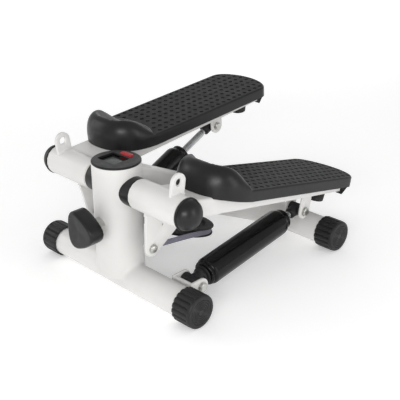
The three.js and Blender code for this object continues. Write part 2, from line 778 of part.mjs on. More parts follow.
function buildPedal(side, sign, angle) {
  const pedal = new THREE.Group();
  pedal.position.z = PIVOT_Z;
  pedal.rotation.x = angle;
  stepper.add(pedal);
  const flip = (geometry) => (sign < 0 ? geometry.rotateZ(Math.PI) : geometry);
  const at = (name, geometry, finish, x) => {
    addPiece(pedal, `${side}_${name}`, geometry, finish).position.x = sign * x;
  };
  const sleeve = turnedX(ring(SLEEVE_R, SLEEVE_BORE, SLEEVE_INNER_X, SLEEVE_OUTER_X), WIDE);
  at("sleeve", flip(sleeve), paint, 0);
  const bushR = SLEEVE_BORE - GAP;
  const boreR = SHAFT_R + GAP;
  const inner = [
    [SLEEVE_R - 0.5, SLEEVE_INNER_X - GAP - FLANGE],
    [SLEEVE_R - 0.5, SLEEVE_INNER_X - GAP],
    [bushR, SLEEVE_INNER_X - GAP],
    [bushR, SLEEVE_INNER_X + 20],
    [boreR, SLEEVE_INNER_X + 20],
    [boreR, SLEEVE_INNER_X - GAP - FLANGE],
  ];
  const outer = inner.map(([r, x]) => [r, SLEEVE_INNER_X + SLEEVE_OUTER_X - x]).reverse();
  at("inner_bush", flip(turnedX(inner, SMALL)), nylon, 0);
  at("outer_bush", flip(turnedX(outer, SMALL)), nylon, 0);
  at("end_dome", flip(endDome().translate(SLEEVE_OUTER_X + GAP + FLANGE, 0, 0)), plastic, 0);
  at("band_tab", bandTab(), paint, TAB_X);
  at("drive_bracket", driveBracket(), paint, BRACKET_X);
  const bolt = boltX(3, 7, -14, BRACKET_THICK / 2 + 4.3, 4);
  at("strap_bolt", flip(bolt).translate(0, BOLT_Y, BOLT_Z), zinc, BRACKET_X);
  at("arm_tray", armTray(sign), paint, PEDAL_X);
  at("footplate", footplate(), plastic, PEDAL_X);
  at("upper_clevis", upperClevis(), paint, DAMPER_X);
  const pin = boltX(4, 7.5, -21.8, 21.8, 5);
  at("upper_pin", pin.translate(0, UPPER_PIN.x, UPPER_PIN.y), zinc, DAMPER_X);
  at("stop_bumper", stopBumper(), rubber, PEDAL_X);
}

// ---- dampers ------------------------------------------------------------------------------

function lowerClevis() {
  const [inner, outer] = [17.3, 21.3];
  const ear = new THREE.Shape();
  ear.moveTo(LOWER_PIN.x, LOWER_PIN.y - 13.5);
  ear.absarc(LOWER_PIN.x, LOWER_PIN.y, 13.5, -Math.PI / 2, Math.PI / 2, false);
  ear.lineTo(20, LOWER_PIN.y + 13.5);
  ear.lineTo(20, LOWER_PIN.y - 13.5);
  ear.closePath();
  return cut(
    plateX(ear, -outer, outer),
    block(-inner, inner, 28.6, 90, 0, 90),
    rodX(TUBE_R + GAP, -60, 60, 0, TUBE_Z, WIDE),
    rodX(5.3, -60, 60, LOWER_PIN.x, LOWER_PIN.y, TINY),
  );
}

// An eye about the X axis with a neck along +Y.
function eye(eyeR, halfWidth, boreR, neck) {
  const barrel = rodX(eyeR, -halfWidth, halfWidth, 0, 0, SMALL);
  const stem = solidOf(turned(neck, SMALL));
  return cut(join(barrel, stem), rodX(boreR, -halfWidth - 1, halfWidth + 1, 0, 0, TINY));
}

function damperCylinder() {
  const profile = [
    [14, CYLINDER_START],
    [20, CYLINDER_START],
    [20, CYLINDER_START + 3],
    [22, CYLINDER_START + 4],
    [22, CYLINDER_START + 8],
    [CYLINDER_R, CYLINDER_START + 9],
    [CYLINDER_R, CYLINDER_END - 19],
    [CYLINDER_R - 1.5, CYLINDER_END - 13],
    [CYLINDER_R - 4.5, CYLINDER_END - 9],
    [18, CYLINDER_END - 8],
    [18, CYLINDER_END],
    [ROD_R + GAP, CYLINDER_END],
    [ROD_R + GAP, CYLINDER_END - 18],
    [CYLINDER_R - 2.5, CYLINDER_END - 18],
    [CYLINDER_R - 2.5, CYLINDER_START + 12],
    [0, CYLINDER_START + 12],
  ];
  return turned([[0, CYLINDER_START], ...profile], MEDIUM);
}

function buildDamper(side, sign, pedalAngle) {
  const upper = pedalPoint(pedalAngle, UPPER_PIN.x, UPPER_PIN.y);
  const span = upper.clone().sub(LOWER_PIN);
  const length = span.length();
  const damper = new THREE.Group();
  damper.position.set(sign * DAMPER_X, LOWER_PIN.x, LOWER_PIN.y);
  damper.rotation.x = span.angle();
  stepper.add(damper);
  addPiece(damper, `${side}_damper_cylinder`, damperCylinder(), blackGloss);
  const lowerNeck = [
    [0, 5],
    [11, 5],
    [11, 22],
    [15, 24],
    [15, 28],
    [12, 30],
    [12, 34],
    [16, 35],
    [16, CYLINDER_START - GAP],
    [0, CYLINDER_START - GAP],
  ];
  addPiece(damper, `${side}_lower_eye`, eye(11, 17, 5.3, lowerNeck), plastic);
  const rodEnd = length - EYE_REACH - GAP;
  const piston = rodEnd - ROD_LENGTH;
  const stem = turned([
    [0, piston],
    [CYLINDER_R - 2.8, piston],
    [CYLINDER_R - 2.8, piston + PISTON_LENGTH],
    [ROD_R, piston + PISTON_LENGTH],
    [ROD_R, rodEnd],
    [0, rodEnd],
  ], SMALL);
  addPiece(damper, `${side}_piston_rod`, stem, chrome);
  const upperNeck = rod(9.5, -EYE_REACH, -5);
  const upperEye = geometryOf(eye(10, 13.2, 6, upperNeck)).translate(0, length, 0);
  addPiece(damper, `${side}_upper_eye`, upperEye, plastic);
  const clevis = geometryOf(lowerClevis());
  addPiece(stepper, `${side}_lower_clevis`, clevis, paint).position.x = sign * DAMPER_X;
  const pin = boltX(5, 8, -26.6, 26.6, 5);
  const place = addPiece(stepper, `${side}_lower_pin`, pin, zinc).position;
  place.set(sign * DAMPER_X, LOWER_PIN.x, LOWER_PIN.y);
}

// ---- assembly -----------------------------------------------------------------------------

buildBase();
buildColumn();
buildBeam();
buildShaft();
buildConsole();
buildKnob();
buildPulley();
buildStrap();
buildPedal("right", 1, PEDAL_LOW);
buildPedal("left", -1, PEDAL_HIGH);
buildDamper("right", 1, PEDAL_LOW);
buildDamper("left", -1, PEDAL_HIGH);

// The row's origin is the middle of the footprint, on the floor.
const size = new THREE.Box3().setFromObject(stepper, true);
stepper.position.y = -(size.min.y + size.max.y) / 2;

export default stepper;
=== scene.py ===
"""Mini stepper: finished surfaces, materials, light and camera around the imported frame.

The frame is in metres, +Z up, +Y to the rear of the machine, +X to the user's right.
Lengths written with `* MM` are millimetres. A pedal is modelled level, with the pivot axis as
its local X axis, and then turned to the angle at which the frame holds it.
"""
import json
import math

import bmesh
import bpy
from mathutils import Matrix, Vector


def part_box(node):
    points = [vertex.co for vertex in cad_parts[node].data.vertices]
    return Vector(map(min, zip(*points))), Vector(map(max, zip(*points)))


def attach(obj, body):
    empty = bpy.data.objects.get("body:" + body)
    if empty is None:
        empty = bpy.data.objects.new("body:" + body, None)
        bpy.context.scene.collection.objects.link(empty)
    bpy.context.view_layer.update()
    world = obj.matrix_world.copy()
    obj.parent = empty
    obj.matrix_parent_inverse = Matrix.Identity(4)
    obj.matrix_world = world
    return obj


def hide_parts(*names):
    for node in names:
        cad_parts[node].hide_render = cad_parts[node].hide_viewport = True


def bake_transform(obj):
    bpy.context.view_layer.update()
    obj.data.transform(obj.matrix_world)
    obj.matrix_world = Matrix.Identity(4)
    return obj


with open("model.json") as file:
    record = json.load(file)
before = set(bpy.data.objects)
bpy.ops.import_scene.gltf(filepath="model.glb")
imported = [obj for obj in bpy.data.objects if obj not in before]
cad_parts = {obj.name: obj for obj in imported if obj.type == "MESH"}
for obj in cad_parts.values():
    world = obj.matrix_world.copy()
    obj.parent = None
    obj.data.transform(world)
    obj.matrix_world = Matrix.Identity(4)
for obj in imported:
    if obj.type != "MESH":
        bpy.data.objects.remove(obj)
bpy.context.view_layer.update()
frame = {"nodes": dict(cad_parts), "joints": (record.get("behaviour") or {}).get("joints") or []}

MM = 0.001
ACROSS, UP, FORWARDS = (1, 0, 0), (0, 0, 1), (0, -1, 0)
SIDES = {"right": 1, "left": -1}
PITCH = {"right": math.radians(-12.6), "left": math.radians(4.7)}

# Camera: level with the photographer's eye, to the front and right of the machine
CAMERA_AT = Vector((0.8496, -0.8614, 0.6570))
CAMERA_BACK = Vector((0.6326, -0.6501, 0.4209))
CAMERA_LENS = 69.6

# Foot plate, in the pedal's frame
PEDAL_X = 104 * MM
PLATE_HALF = 63 * MM
PLATE_FRONT = 49 * MM
PLATE_REAR = 425.5 * MM
TOE_DEPTH = 74.5 * MM
TOE_POWER = 2.5  # a little blunter than an ellipse
HEEL_DEPTH = 33.5 * MM
TREAD_Z = 29 * MM
SKIRT_Z = 10 * MM
SKIN = 3.2 * MM
TOE_Y = PLATE_FRONT + TOE_DEPTH  # the outline is straight from here
HEEL_Y = PLATE_REAR - HEEL_DEPTH  # to here
GUARD_HEIGHT = 33 * MM  # of the toe guard's crest above the tread
GUARD_CREST = 0.74  # where the crest runs, from the toe's middle (0) to its outline (1)
EDGE_R = 3.5 * MM  # rolled edge round the tread
LIP = 1.4 * MM  # step from the guard down to the tread
TREAD_FRONT_MID = 139 * MM
TREAD_FRONT_SIDE = 118 * MM

# Pivot
SLEEVE_R = 24 * MM
SLEEVE_WALL = 2 * MM
COLLAR_R = 23.6 * MM
SHAFT_HOLE_R = 10.3 * MM

# Base and column
COLUMN_WALL = 2.2 * MM
TUBE_WALL = 2 * MM
BEAM_ANGLE = math.radians(25.5)
BEAM_WIDTH = 46 * MM
BEAM_HEIGHT = 55 * MM
BEAM_WALL = 2.5 * MM
BEAM_CORNER = 6 * MM
WELD_SHARP = 70  # weld seams are shaded smooth up to this angle, in degrees


# ---- where the frame's pieces are ----------------------------------------------------------

def middle(node):
    """Middle of a CAD node's box."""
    low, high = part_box(node)
    return (low + high) / 2


def extent(node):
    """Size of a CAD node's box."""
    low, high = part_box(node)
    return high - low


PIVOT = middle("pivot_shaft")
FRONT_TUBE = middle("front_cross_tube")
REAR_TUBE = middle("rear_cross_tube")
TUBE_R = extent("front_cross_tube").z / 2
COLUMN = middle("column_tube")
COLUMN_R = extent("column_tube").x / 2
PULLEY = middle("drive_pulley")
PULLEY_AXIS = Vector(next(j for j in frame["joints"] if j["name"] == "pulley_turn")["axis"])


def turn_from_z(direction):
    """Rotation that takes local Z to the given direction and keeps local X level."""
    z = Vector(direction).normalized()
    x = Vector((1, 0, 0)) if abs(z.x) < 0.9 else Vector((0, 1, 0))
    y = z.cross(x).normalized()
    x = y.cross(z)
    return Matrix((x, y, z)).transposed().to_4x4()


def place(at, direction=UP):
    """Matrix that takes the local origin to `at` and local Z to `direction`."""
    return Matrix.Translation(Vector(at)) @ turn_from_z(direction)


# Local (u, v, w) becomes (X = w, Y = u, Z = v): for outlines drawn in the Y-Z plane.
UPRIGHT = Matrix(((0, 0, 1, 0), (1, 0, 0, 0), (0, 1, 0, 0), (0, 0, 0, 1)))
UPSIDE_DOWN = Matrix.Rotation(math.pi, 4, "X")


def pedal_frame(side, x=0.0):
    """Matrix from a pedal's own frame, shifted by x along the pivot axis, to the machine's."""
    turn = Matrix.Rotation(PITCH[side], 4, "X")
    return Matrix.Translation(PIVOT) @ turn @ Matrix.Translation((x, 0, 0))


# ---- meshes --------------------------------------------------------------------------------

def mesh_of(vertices, faces):
    mesh = bpy.data.meshes.new("shape")
    mesh.from_pydata([tuple(v) for v in vertices], [], faces)
    return tidy(mesh)


def tidy(mesh, distance=1e-6):
    """Merges doubled vertices and turns every face outwards."""
    work = bmesh.new()
    work.from_mesh(mesh)
    bmesh.ops.remove_doubles(work, verts=work.verts, dist=distance)
    bmesh.ops.dissolve_degenerate(work, edges=work.edges, dist=distance)
    bmesh.ops.recalc_face_normals(work, faces=work.faces)
    work.to_mesh(mesh)
    work.free()
    return mesh


def moved(mesh, matrix):
    mesh.transform(matrix)
    if matrix.determinant() < 0:
        mesh.flip_normals()
    return mesh


def lifted(mesh, height):
    return moved(mesh, Matrix.Translation((0, 0, height)))


def rounded(points, radius, closed=False, steps=5):
    """The outline with each corner eased by up to `radius`."""
    points = [Vector(p) for p in points]
    eased = []
    for i, corner in enumerate(points):
        if not closed and i in (0, len(points) - 1):
            eased.append(corner)
            continue
        before = points[i - 1] - corner
        after = points[(i + 1) % len(points)] - corner
        reach = min(radius, 0.45 * before.length, 0.45 * after.length)
        start = corner + before.normalized() * reach
        end = corner + after.normalized() * reach
        for k in range(steps + 1):
            t = k / steps
            eased.append(start * (1 - t) ** 2 + corner * 2 * t * (1 - t) + end * t * t)
    return eased


def arc(x, y, radius, start, end, steps=24):
    """Points on an arc, from `start` to `end` in degrees."""
    angles = [math.radians(start + (end - start) * k / steps) for k in range(steps + 1)]
    return [(x + radius * math.cos(a), y + radius * math.sin(a)) for a in angles]


def circle(x, y, radius, count=24):
    """Points evenly spread round a circle."""
    return arc(x, y, radius, 0, 360 - 360 / count, count - 1)


def loft(rings, closed=False, capped=True):
    """Skin over rings of equal length; a closed loft joins its last ring to its first."""
    count = len(rings[0])
    vertices = [v for ring in rings for v in ring]
    faces = []
    spans = len(rings) if closed else len(rings) - 1
    for i in range(spans):
        a, b = i * count, ((i + 1) % len(rings)) * count
        for k in range(count):
            n = (k + 1) % count
            faces.append((a + k, a + n, b + n, b + k))
    if capped and not closed:
        faces.append(tuple(range(count)))
        faces.append(tuple(range(len(vertices) - count, len(vertices))))
    return mesh_of(vertices, faces)


def spun(outline, segments, closed=True):
    """Surface of revolution about local Z of an outline of (radius, height)."""
    turns = [2 * math.pi * k / segments for k in range(segments)]
    rings = [[(r * math.cos(a), r * math.sin(a), h) for a in turns] for r, h in outline]
    return loft(rings, closed=closed, capped=False)


def lathe(profile, segments=96, ease=0.6 * MM):
    """Surface of revolution with its corners eased; a profile that doesn't start on the axis
    closes on itself."""
    hollow = profile[0][0] > 0
    return spun(rounded(profile, ease, closed=hollow), segments, hollow)


def rod(radius, low, high):
    """Profile of a solid cylinder, for `lathe`."""
    return [(0, low), (radius, low), (radius, high), (0, high)]


def pipe(outer, inner, low, high):
    """Profile of a tube, for `lathe`."""
    return [(outer, low), (outer, high), (inner, high), (inner, low)]


def plate(outline, thickness, holes=(), edge=0.5 * MM):
    """Flat plate in the local X-Y plane with rounded edges, its middle plane at z = 0."""
    curve = bpy.data.curves.new("plate", "CURVE")
    curve.dimensions = "2D"
    curve.fill_mode = "BOTH"
    for points in (outline, *holes):
        spline = curve.splines.new("POLY")
        spline.points.add(len(points) - 1)
        for point, (x, y) in zip(spline.points, points):
            point.co = (x, y, 0, 1)
        spline.use_cyclic_u = True
    curve.extrude = thickness / 2 - edge
    curve.bevel_depth = edge
    curve.bevel_resolution = 2
    curve.offset = -edge
    holder = bpy.data.objects.new("plate", curve)
    bpy.context.scene.collection.objects.link(holder)
    bpy.context.view_layer.update()
    depsgraph = bpy.context.evaluated_depsgraph_get()
    mesh = bpy.data.meshes.new_from_object(holder.evaluated_get(depsgraph))
    bpy.data.objects.remove(holder)
    bpy.data.curves.remove(curve)
    return tidy(mesh, 1e-5)


def rounded_box(low, high, edge):
    """Box between two corners, its upright edges and its rims eased."""
    x0, y0, z0 = low
    x1, y1, z1 = high
    levels = []
    for k in range(4):
        a = math.pi / 2 * k / 3
        levels.append((edge * (1 - math.sin(a)), z0 + edge * (1 - math.cos(a))))
    levels += [(inset, z0 + z1 - z) for inset, z in reversed(levels)]
    rings = []
    for inset, z in levels:
        corners = [(x0 + inset, y0 + inset), (x1 - inset, y0 + inset)]
        corners += [(x1 - inset, y1 - inset), (x0 + inset, y1 - inset)]
        rings.append([(p.x, p.y, z) for p in rounded(corners, edge * 1.5, closed=True)])
    return loft(rings)


def boolean(mesh, tools, operation):
    """The mesh joined with or cut by the tools, which are used up."""
    def holder(shape):
        made = bpy.data.objects.new("boolean", shape)
        bpy.context.scene.collection.objects.link(made)
        return made

    base = holder(mesh)
    used = [holder(tool) for tool in tools]
    for tool in used:
        modifier = base.modifiers.new("cut", "BOOLEAN")
        modifier.operation = operation
        modifier.solver = "EXACT"
        modifier.object = tool
    bpy.context.view_layer.update()
    depsgraph = bpy.context.evaluated_depsgraph_get()
    result = bpy.data.meshes.new_from_object(base.evaluated_get(depsgraph))
    for spent in (base, *used):
        bpy.data.objects.remove(spent)
    return tidy(result, 1e-6)


def cut(mesh, *tools):
    return boolean(mesh, tools, "DIFFERENCE")


def join(mesh, *others):
    return boolean(mesh, others, "UNION")


def merge(*meshes):
    """Several closed shells in one mesh, without a boolean."""
    work = bmesh.new()
    for mesh in meshes:
        work.from_mesh(mesh)
    merged = bpy.data.meshes.new("shape")
    work.to_mesh(merged)
    work.free()
    return merged


def drum(radius, low, high, at=(0, 0, 0), direction=ACROSS, segments=96):
    """Plain cylinder along `direction`, from `low` to `high`, for a shank or a cut."""
    return moved(lathe(rod(radius, low, high), segments, ease=0), place(at, direction))


def column_cutter(clearance=0.0):
    """Cutting tool of the column's outer shape."""
    return drum(COLUMN_R + clearance, -0.1, 0.4, (COLUMN.x, COLUMN.y, 0), UP, 128)


def tube_cutter(at, reach=0.06):
    """Cutting tool of a cross tube's outer shape."""
    return drum(TUBE_R, -reach, reach, at, segments=128)


def sleeve_cutter(reach=0.02):
    """Cutting tool of the pivot tube's outer shape, in the pedal's frame."""
    return drum(SLEEVE_R, -reach, reach, segments=128)


def weld(points, normals_a, normals_b, size, closed=False):
    """Concave fillet along a joint between two faces with the given outward normals."""
    rings = []
    for at, a, b in zip(points, normals_a, normals_b):
        along_a = (b - a * a.dot(b)).normalized() * size
        along_b = (a - b * a.dot(b)).normalized() * size
        start, end = at + along_a, at + along_b
        section = []
        for k in range(7):
            t = k / 6
            section.append(start * (1 - t) ** 2 + at * 2 * t * (1 - t) + end * t * t)
        section.append(end - b * 0.5 * MM)
        section.append(at - (a + b) * 0.5 * MM)
        section.append(start - a * 0.5 * MM)
        rings.append(section)
    return loft(rings, closed=closed)


def add(name, mesh, body, material, nodes=(), sharp=32):
    """Makes a mesh a piece that rides on a body, if any, and stands for the named CAD nodes."""
    mesh.name = name
    for polygon in mesh.polygons:
        polygon.use_smooth = True
    mesh.set_sharp_from_angle(angle=math.radians(sharp))
    mesh.materials.clear()
    mesh.materials.append(material)
    piece = bpy.data.objects.new(name, mesh)
    bpy.context.scene.collection.objects.link(piece)
    if body:
        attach(piece, body)
    if nodes:
        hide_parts(*nodes)
    return piece


# ---- materials -----------------------------------------------------------------------------

class Surface:
    """A Principled material whose colour, roughness and relief vary over the surface."""

    def __init__(self, name, slot, metallic=0.0, ior=1.5):
        self.material = bpy.data.materials.new(name)
        self.material.use_nodes = True
        self.material["slot"] = slot
        self.nodes = self.material.node_tree.nodes
        self.links = self.material.node_tree.links
        self.shader = self.nodes["Principled BSDF"]
        self.shader.inputs["Metallic"].default_value = metallic
        self.shader.inputs["IOR"].default_value = ior
        self.place = self.nodes.new("ShaderNodeTexCoord").outputs["Object"]
        self.relief = None

    def noise(self, scale, detail=3.0):
        node = self.nodes.new("ShaderNodeTexNoise")
        node.inputs["Scale"].default_value = scale
        node.inputs["Detail"].default_value = detail
        node.inputs["Roughness"].default_value = 0.55
        self.links.new(self.place, node.inputs["Vector"])
        return node.outputs["Fac"]

    def patches(self, scale, detail=3.0, low=0.0, high=1.0):
        """Noise spread over a range of values."""
        return self.remap(self.noise(scale, detail), 0.3, 0.7, low, high)

    def cells(self, scale):
        node = self.nodes.new("ShaderNodeTexVoronoi")
        node.inputs["Scale"].default_value = scale
        self.links.new(self.place, node.inputs["Vector"])
        return node.outputs["Distance"]

    def remap(self, value, low, high, to_low, to_high):
        node = self.nodes.new("ShaderNodeMapRange")
        names = ("From Min", "From Max", "To Min", "To Max")
        for name, number in zip(names, (low, high, to_low, to_high)):
            node.inputs[name].default_value = number
        self.links.new(value, node.inputs["Value"])
        return node.outputs["Result"]

    def math(self, operation, a, b):
        node = self.nodes.new("ShaderNodeMath")
        node.operation = operation
        for socket, value in zip(node.inputs, (a, b)):
            if isinstance(value, (int, float)):
                socket.default_value = value
            else:
                self.links.new(value, socket)
        return node.outputs[0]

    def mix(self, factor, a, b):
        node = self.nodes.new("ShaderNodeMix")
        node.data_type = "RGBA"
        self.links.new(factor, node.inputs["Factor"])
        for socket, value in ((node.inputs["A"], a), (node.inputs["B"], b)):
            if isinstance(value, tuple):
                socket.default_value = (*value, 1)
            else:
                self.links.new(value, socket)
        return node.outputs["Result"]

    def edges(self):
        """1 on worn outer edges, 0 elsewhere."""
        pointy = self.nodes.new("ShaderNodeNewGeometry").outputs["Pointiness"]
        return self.remap(pointy, 0.52, 0.62, 0, 1)

    def colour(self, value):
        self.links.new(value, self.shader.inputs["Base Color"])

    def roughness(self, value):
        self.links.new(value, self.shader.inputs["Roughness"])

    def bump(self, height, strength, distance):
        node = self.nodes.new("ShaderNodeBump")
        node.inputs["Strength"].default_value = strength
        node.inputs["Distance"].default_value = distance
        self.links.new(height, node.inputs["Height"])
        if self.relief:
            self.links.new(self.relief, node.inputs["Normal"])
        self.relief = node.outputs["Normal"]
        self.links.new(self.relief, self.shader.inputs["Normal"])


def painted_steel():
    """Warm white powder coat: faint orange peel, slightly greyer where hands and dust reach."""
    s = Surface("white_powder_coat", "white_paint")
    s.shader.inputs["Coat Weight"].default_value = 0.25
    s.shader.inputs["Coat Roughness"].default_value = 0.22
    tone = s.mix(s.remap(s.noise(9), 0.35, 0.7, 0, 1), (0.74, 0.73, 0.715), (0.68, 0.67, 0.655))
    specks = s.remap(s.noise(420, 2), 0.68, 0.76, 0, 0.35)
    s.colour(s.mix(specks, tone, (0.60, 0.59, 0.57)))
    s.roughness(s.patches(55, 4, 0.34, 0.5))
    s.bump(s.noise(650, 2), 0.10, 0.12 * MM)
    return s.material


def moulded_plastic(name, slot, shades, rough, grain, scale=1500, specular=0.36):
    """Injection-moulded plastic: spark-eroded grain, paler where edges rub."""
    dark, light = shades
    s = Surface(name, slot)
    s.shader.inputs["Specular IOR Level"].default_value = specular
    tone = s.mix(s.patches(35, 4), dark, light)
    worn = s.math("MULTIPLY", s.edges(), s.remap(s.noise(90, 3), 0.35, 0.65, 0.1, 0.7))
    pale = tuple(c * 2.4 for c in light)
    s.colour(s.mix(worn, tone, pale))
    s.roughness(s.patches(120, 4, rough - 0.06, rough + 0.07))
    s.bump(s.cells(scale), grain, 0.10 * MM)
    s.bump(s.noise(24, 2), 0.06, 0.6 * MM)
    return s.material


def gloss_black():
    """Stoved black enamel on the damper bodies: deep gloss with faint wiping marks."""
    s = Surface("damper_enamel", "damper_black")
    s.shader.inputs["Specular IOR Level"].default_value = 0.3
    s.colour(s.mix(s.patches(40), (0.0015, 0.0015, 0.0018), (0.003, 0.003, 0.0035)))
    s.roughness(s.patches(90, 5, 0.16, 0.28))
    s.bump(s.noise(380, 2), 0.05, 0.1 * MM)
    return s.material


def bright_metal(name, slot, dark, light, rough, brushed, scale):
    """Plated steel with faint marks in its gloss and relief."""
    s = Surface(name, slot, metallic=1.0)
    marks = s.noise(scale, 4)
    s.colour(s.mix(s.patches(160, 4), dark, light))
    s.roughness(s.remap(marks, 0.3, 0.7, rough - 0.05, rough + 0.09))
    s.bump(marks, brushed, 0.05 * MM)
    return s.material


def soft_rubber():
    """Dull black rubber with a dusty, fine-grained skin."""
    s = Surface("rubber", "stop_rubber")
    s.colour(s.mix(s.patches(70, 4), (0.012, 0.012, 0.012), (0.026, 0.025, 0.025)))
    s.roughness(s.patches(200, 3, 0.72, 0.9))
    s.bump(s.noise(900, 3), 0.25, 0.12 * MM)
    return s.material


def woven_webbing():
    """Grey-violet polyester webbing: a fine twill that follows the strap's own length."""
    s = Surface("polyester_webbing", "strap_webbing")
    s.shader.inputs["Sheen Weight"].default_value = 0.35
    s.shader.inputs["Sheen Roughness"].default_value = 0.5
    along = s.nodes.new("ShaderNodeUVMap")
    along.uv_map = "along"
    s.place = along.outputs["UV"]
    split = s.nodes.new("ShaderNodeSeparateXYZ")
    s.links.new(s.place, split.inputs["Vector"])
    yarns = 2 * math.pi / (0.9 * MM)
    warp = s.math("SINE", s.math("MULTIPLY", split.outputs["X"], yarns), 0)
    weft = s.math("SINE", s.math("MULTIPLY", split.outputs["Y"], yarns), 0)
    weave = s.math("MULTIPLY", warp, weft)
    height = s.remap(weave, -1, 1, 0, 1)
    fuzz = s.patches(300, 4)
    base = s.mix(fuzz, (0.135, 0.130, 0.185), (0.185, 0.180, 0.240))
    # painted shade: the colour darkens towards the weave's hollows, where the bump's height is lowest
    s.colour(s.mix(s.remap(weave, -1, 1, 0.45, 0), base, (0.06, 0.058, 0.085)))
    s.roughness(s.remap(fuzz, 0, 1, 0.72, 0.88))
    s.bump(height, 0.6, 0.25 * MM)
    return s.material


def screen_glass():
    """Reflective liquid-crystal panel under a clear cover."""
    s = Surface("liquid_crystal", "console_screen")
    s.shader.inputs["Specular IOR Level"].default_value = 0.25
    s.shader.inputs["Coat Weight"].default_value = 0.12
    s.shader.inputs["Coat Roughness"].default_value = 0.1
    s.colour(s.mix(s.patches(60, 2), (0.070, 0.076, 0.074), (0.090, 0.097, 0.094)))
    s.roughness(s.patches(400, 3, 0.25, 0.38))
    s.bump(s.noise(1200, 1), 0.04, 0.05 * MM)
    return s.material


def button_plastic():
    """Red moulding of the button, slightly translucent."""
    s = Surface("red_plastic", "button_red")
    s.shader.inputs["Specular IOR Level"].default_value = 0.3
    s.shader.inputs["Subsurface Weight"].default_value = 0.08
    s.shader.inputs["Subsurface Scale"].default_value = 1.5 * MM
    s.colour(s.mix(s.patches(260), (0.34, 0.010, 0.016), (0.44, 0.016, 0.024)))
    s.roughness(s.patches(500, 3, 0.3, 0.42))
    s.bump(s.noise(1100, 2), 0.08, 0.08 * MM)
    return s.material


def near_black(dark, light, blue):
    """The two shades of a black plastic, with a little more blue than red and green."""
    return (dark, dark, dark + blue), (light, light, light + blue)


PAINT = painted_steel()
BLACK = "black_plastic"
PLASTIC = moulded_plastic("grained_plastic", BLACK, near_black(0.010, 0.015, 0.0005), 0.5, 0.2)
TREAD = moulded_plastic("tread_plastic", BLACK, near_black(0.008, 0.011, 0.0003), 0.6, 0.3, 1100, 0.24)
SATIN = moulded_plastic("satin_plastic", BLACK, near_black(0.006, 0.009, 0.0003), 0.36, 0.08, 1800)
BEZEL = moulded_plastic("bezel_plastic", "console_bezel", near_black(0.006, 0.009, 0.001), 0.42, 0.12)
NYLON = moulded_plastic("nylon", "nylon", ((0.55, 0.54, 0.50), (0.62, 0.61, 0.57)), 0.5, 0.1)
DAMPER = gloss_black()
CHROME = bright_metal("hard_chrome", "rod_chrome", (0.42, 0.43, 0.44), (0.52, 0.53, 0.54), 0.16, 0.0, 60)
ZINC = bright_metal("zinc_plate", "zinc_steel", (0.50, 0.50, 0.48), (0.64, 0.64, 0.61), 0.32, 0.16, 500)
RUBBER = soft_rubber()
WEBBING = woven_webbing()
SCREEN = screen_glass()
RED = button_plastic()


# ---- camera, light and floor ---------------------------------------------------------------

def aim(holder, at, back):
    """Puts a camera or light at `at`, looking along minus `back`."""
    holder.location = at
    holder.rotation_mode = "QUATERNION"
    holder.rotation_quaternion = (-Vector(back)).to_track_quat("-Z", "Y")
    bpy.context.scene.collection.objects.link(holder)


def softbox(name, at, target, width, height, power):
    light = bpy.data.lights.new(name, "AREA")
    light.shape = "RECTANGLE"
    light.size = width
    light.size_y = height
    light.energy = power
    aim(bpy.data.objects.new(name, light), at, Vector(at) - Vector(target))


def build_studio():
    """Camera, softboxes, even background light and a pale floor."""
    camera = bpy.data.cameras.new("camera")
    camera.lens = CAMERA_LENS
    camera.sensor_width = 36
    camera.clip_start = 0.05
    holder = bpy.data.objects.new("camera", camera)
    aim(holder, CAMERA_AT, CAMERA_BACK)
    bpy.context.scene.camera = holder

    target = (0, 0, 0.12)
    softbox("key_softbox", (1.1, -1.5, 0.85), target, 1.1, 0.45, 15)
    softbox("side_softbox", (1.7, 0.3, 0.6), target, 0.5, 1.0, 5)
    softbox("left_softbox", (-1.5, -0.9, 0.7), target, 0.6, 1.0, 4)
    softbox("backdrop_light", (-2.2, 2.3, 0.9), (-2.2, 2.3, 0), 2.6, 2.6, 26)

    world = bpy.data.worlds.new("studio")
    world.use_nodes = True
    world.node_tree.nodes["Background"].inputs["Color"].default_value = (1, 1, 1, 1)
    world.node_tree.nodes["Background"].inputs["Strength"].default_value = 0.56
    bpy.context.scene.world = world
    bpy.context.scene.view_settings.view_transform = "Standard"

    reach = 6.0
    floor = mesh_of(
        [(-reach, -reach, 0), (reach, -reach, 0), (reach, reach, 0), (-reach, reach, 0)],
        [(0, 1, 2, 3)],
    )
    paper = Surface("backdrop_paper", "none")
    paper.colour(paper.mix(paper.noise(2), (0.93, 0.93, 0.93), (0.95, 0.95, 0.95)))
    paper.shader.inputs["Roughness"].default_value = 0.9
    paper.shader.inputs["Emission Color"].default_value = (1, 1, 1, 1)
    paper.shader.inputs["Emission Strength"].default_value = 0.26
    floor.materials.append(paper.material)
    ground = bpy.data.objects.new("floor", floor)
    bpy.context.scene.collection.objects.link(ground)


# ---- base ----------------------------------------------------------------------------------

CAP_R = 27.6 * MM
CAP_LENGTH = 36.5 * MM
CAP_BORE = 24.3 * MM
CAP_RIBS = 18
CAP_RIM = 5.5 * MM  # plain band at the outer end


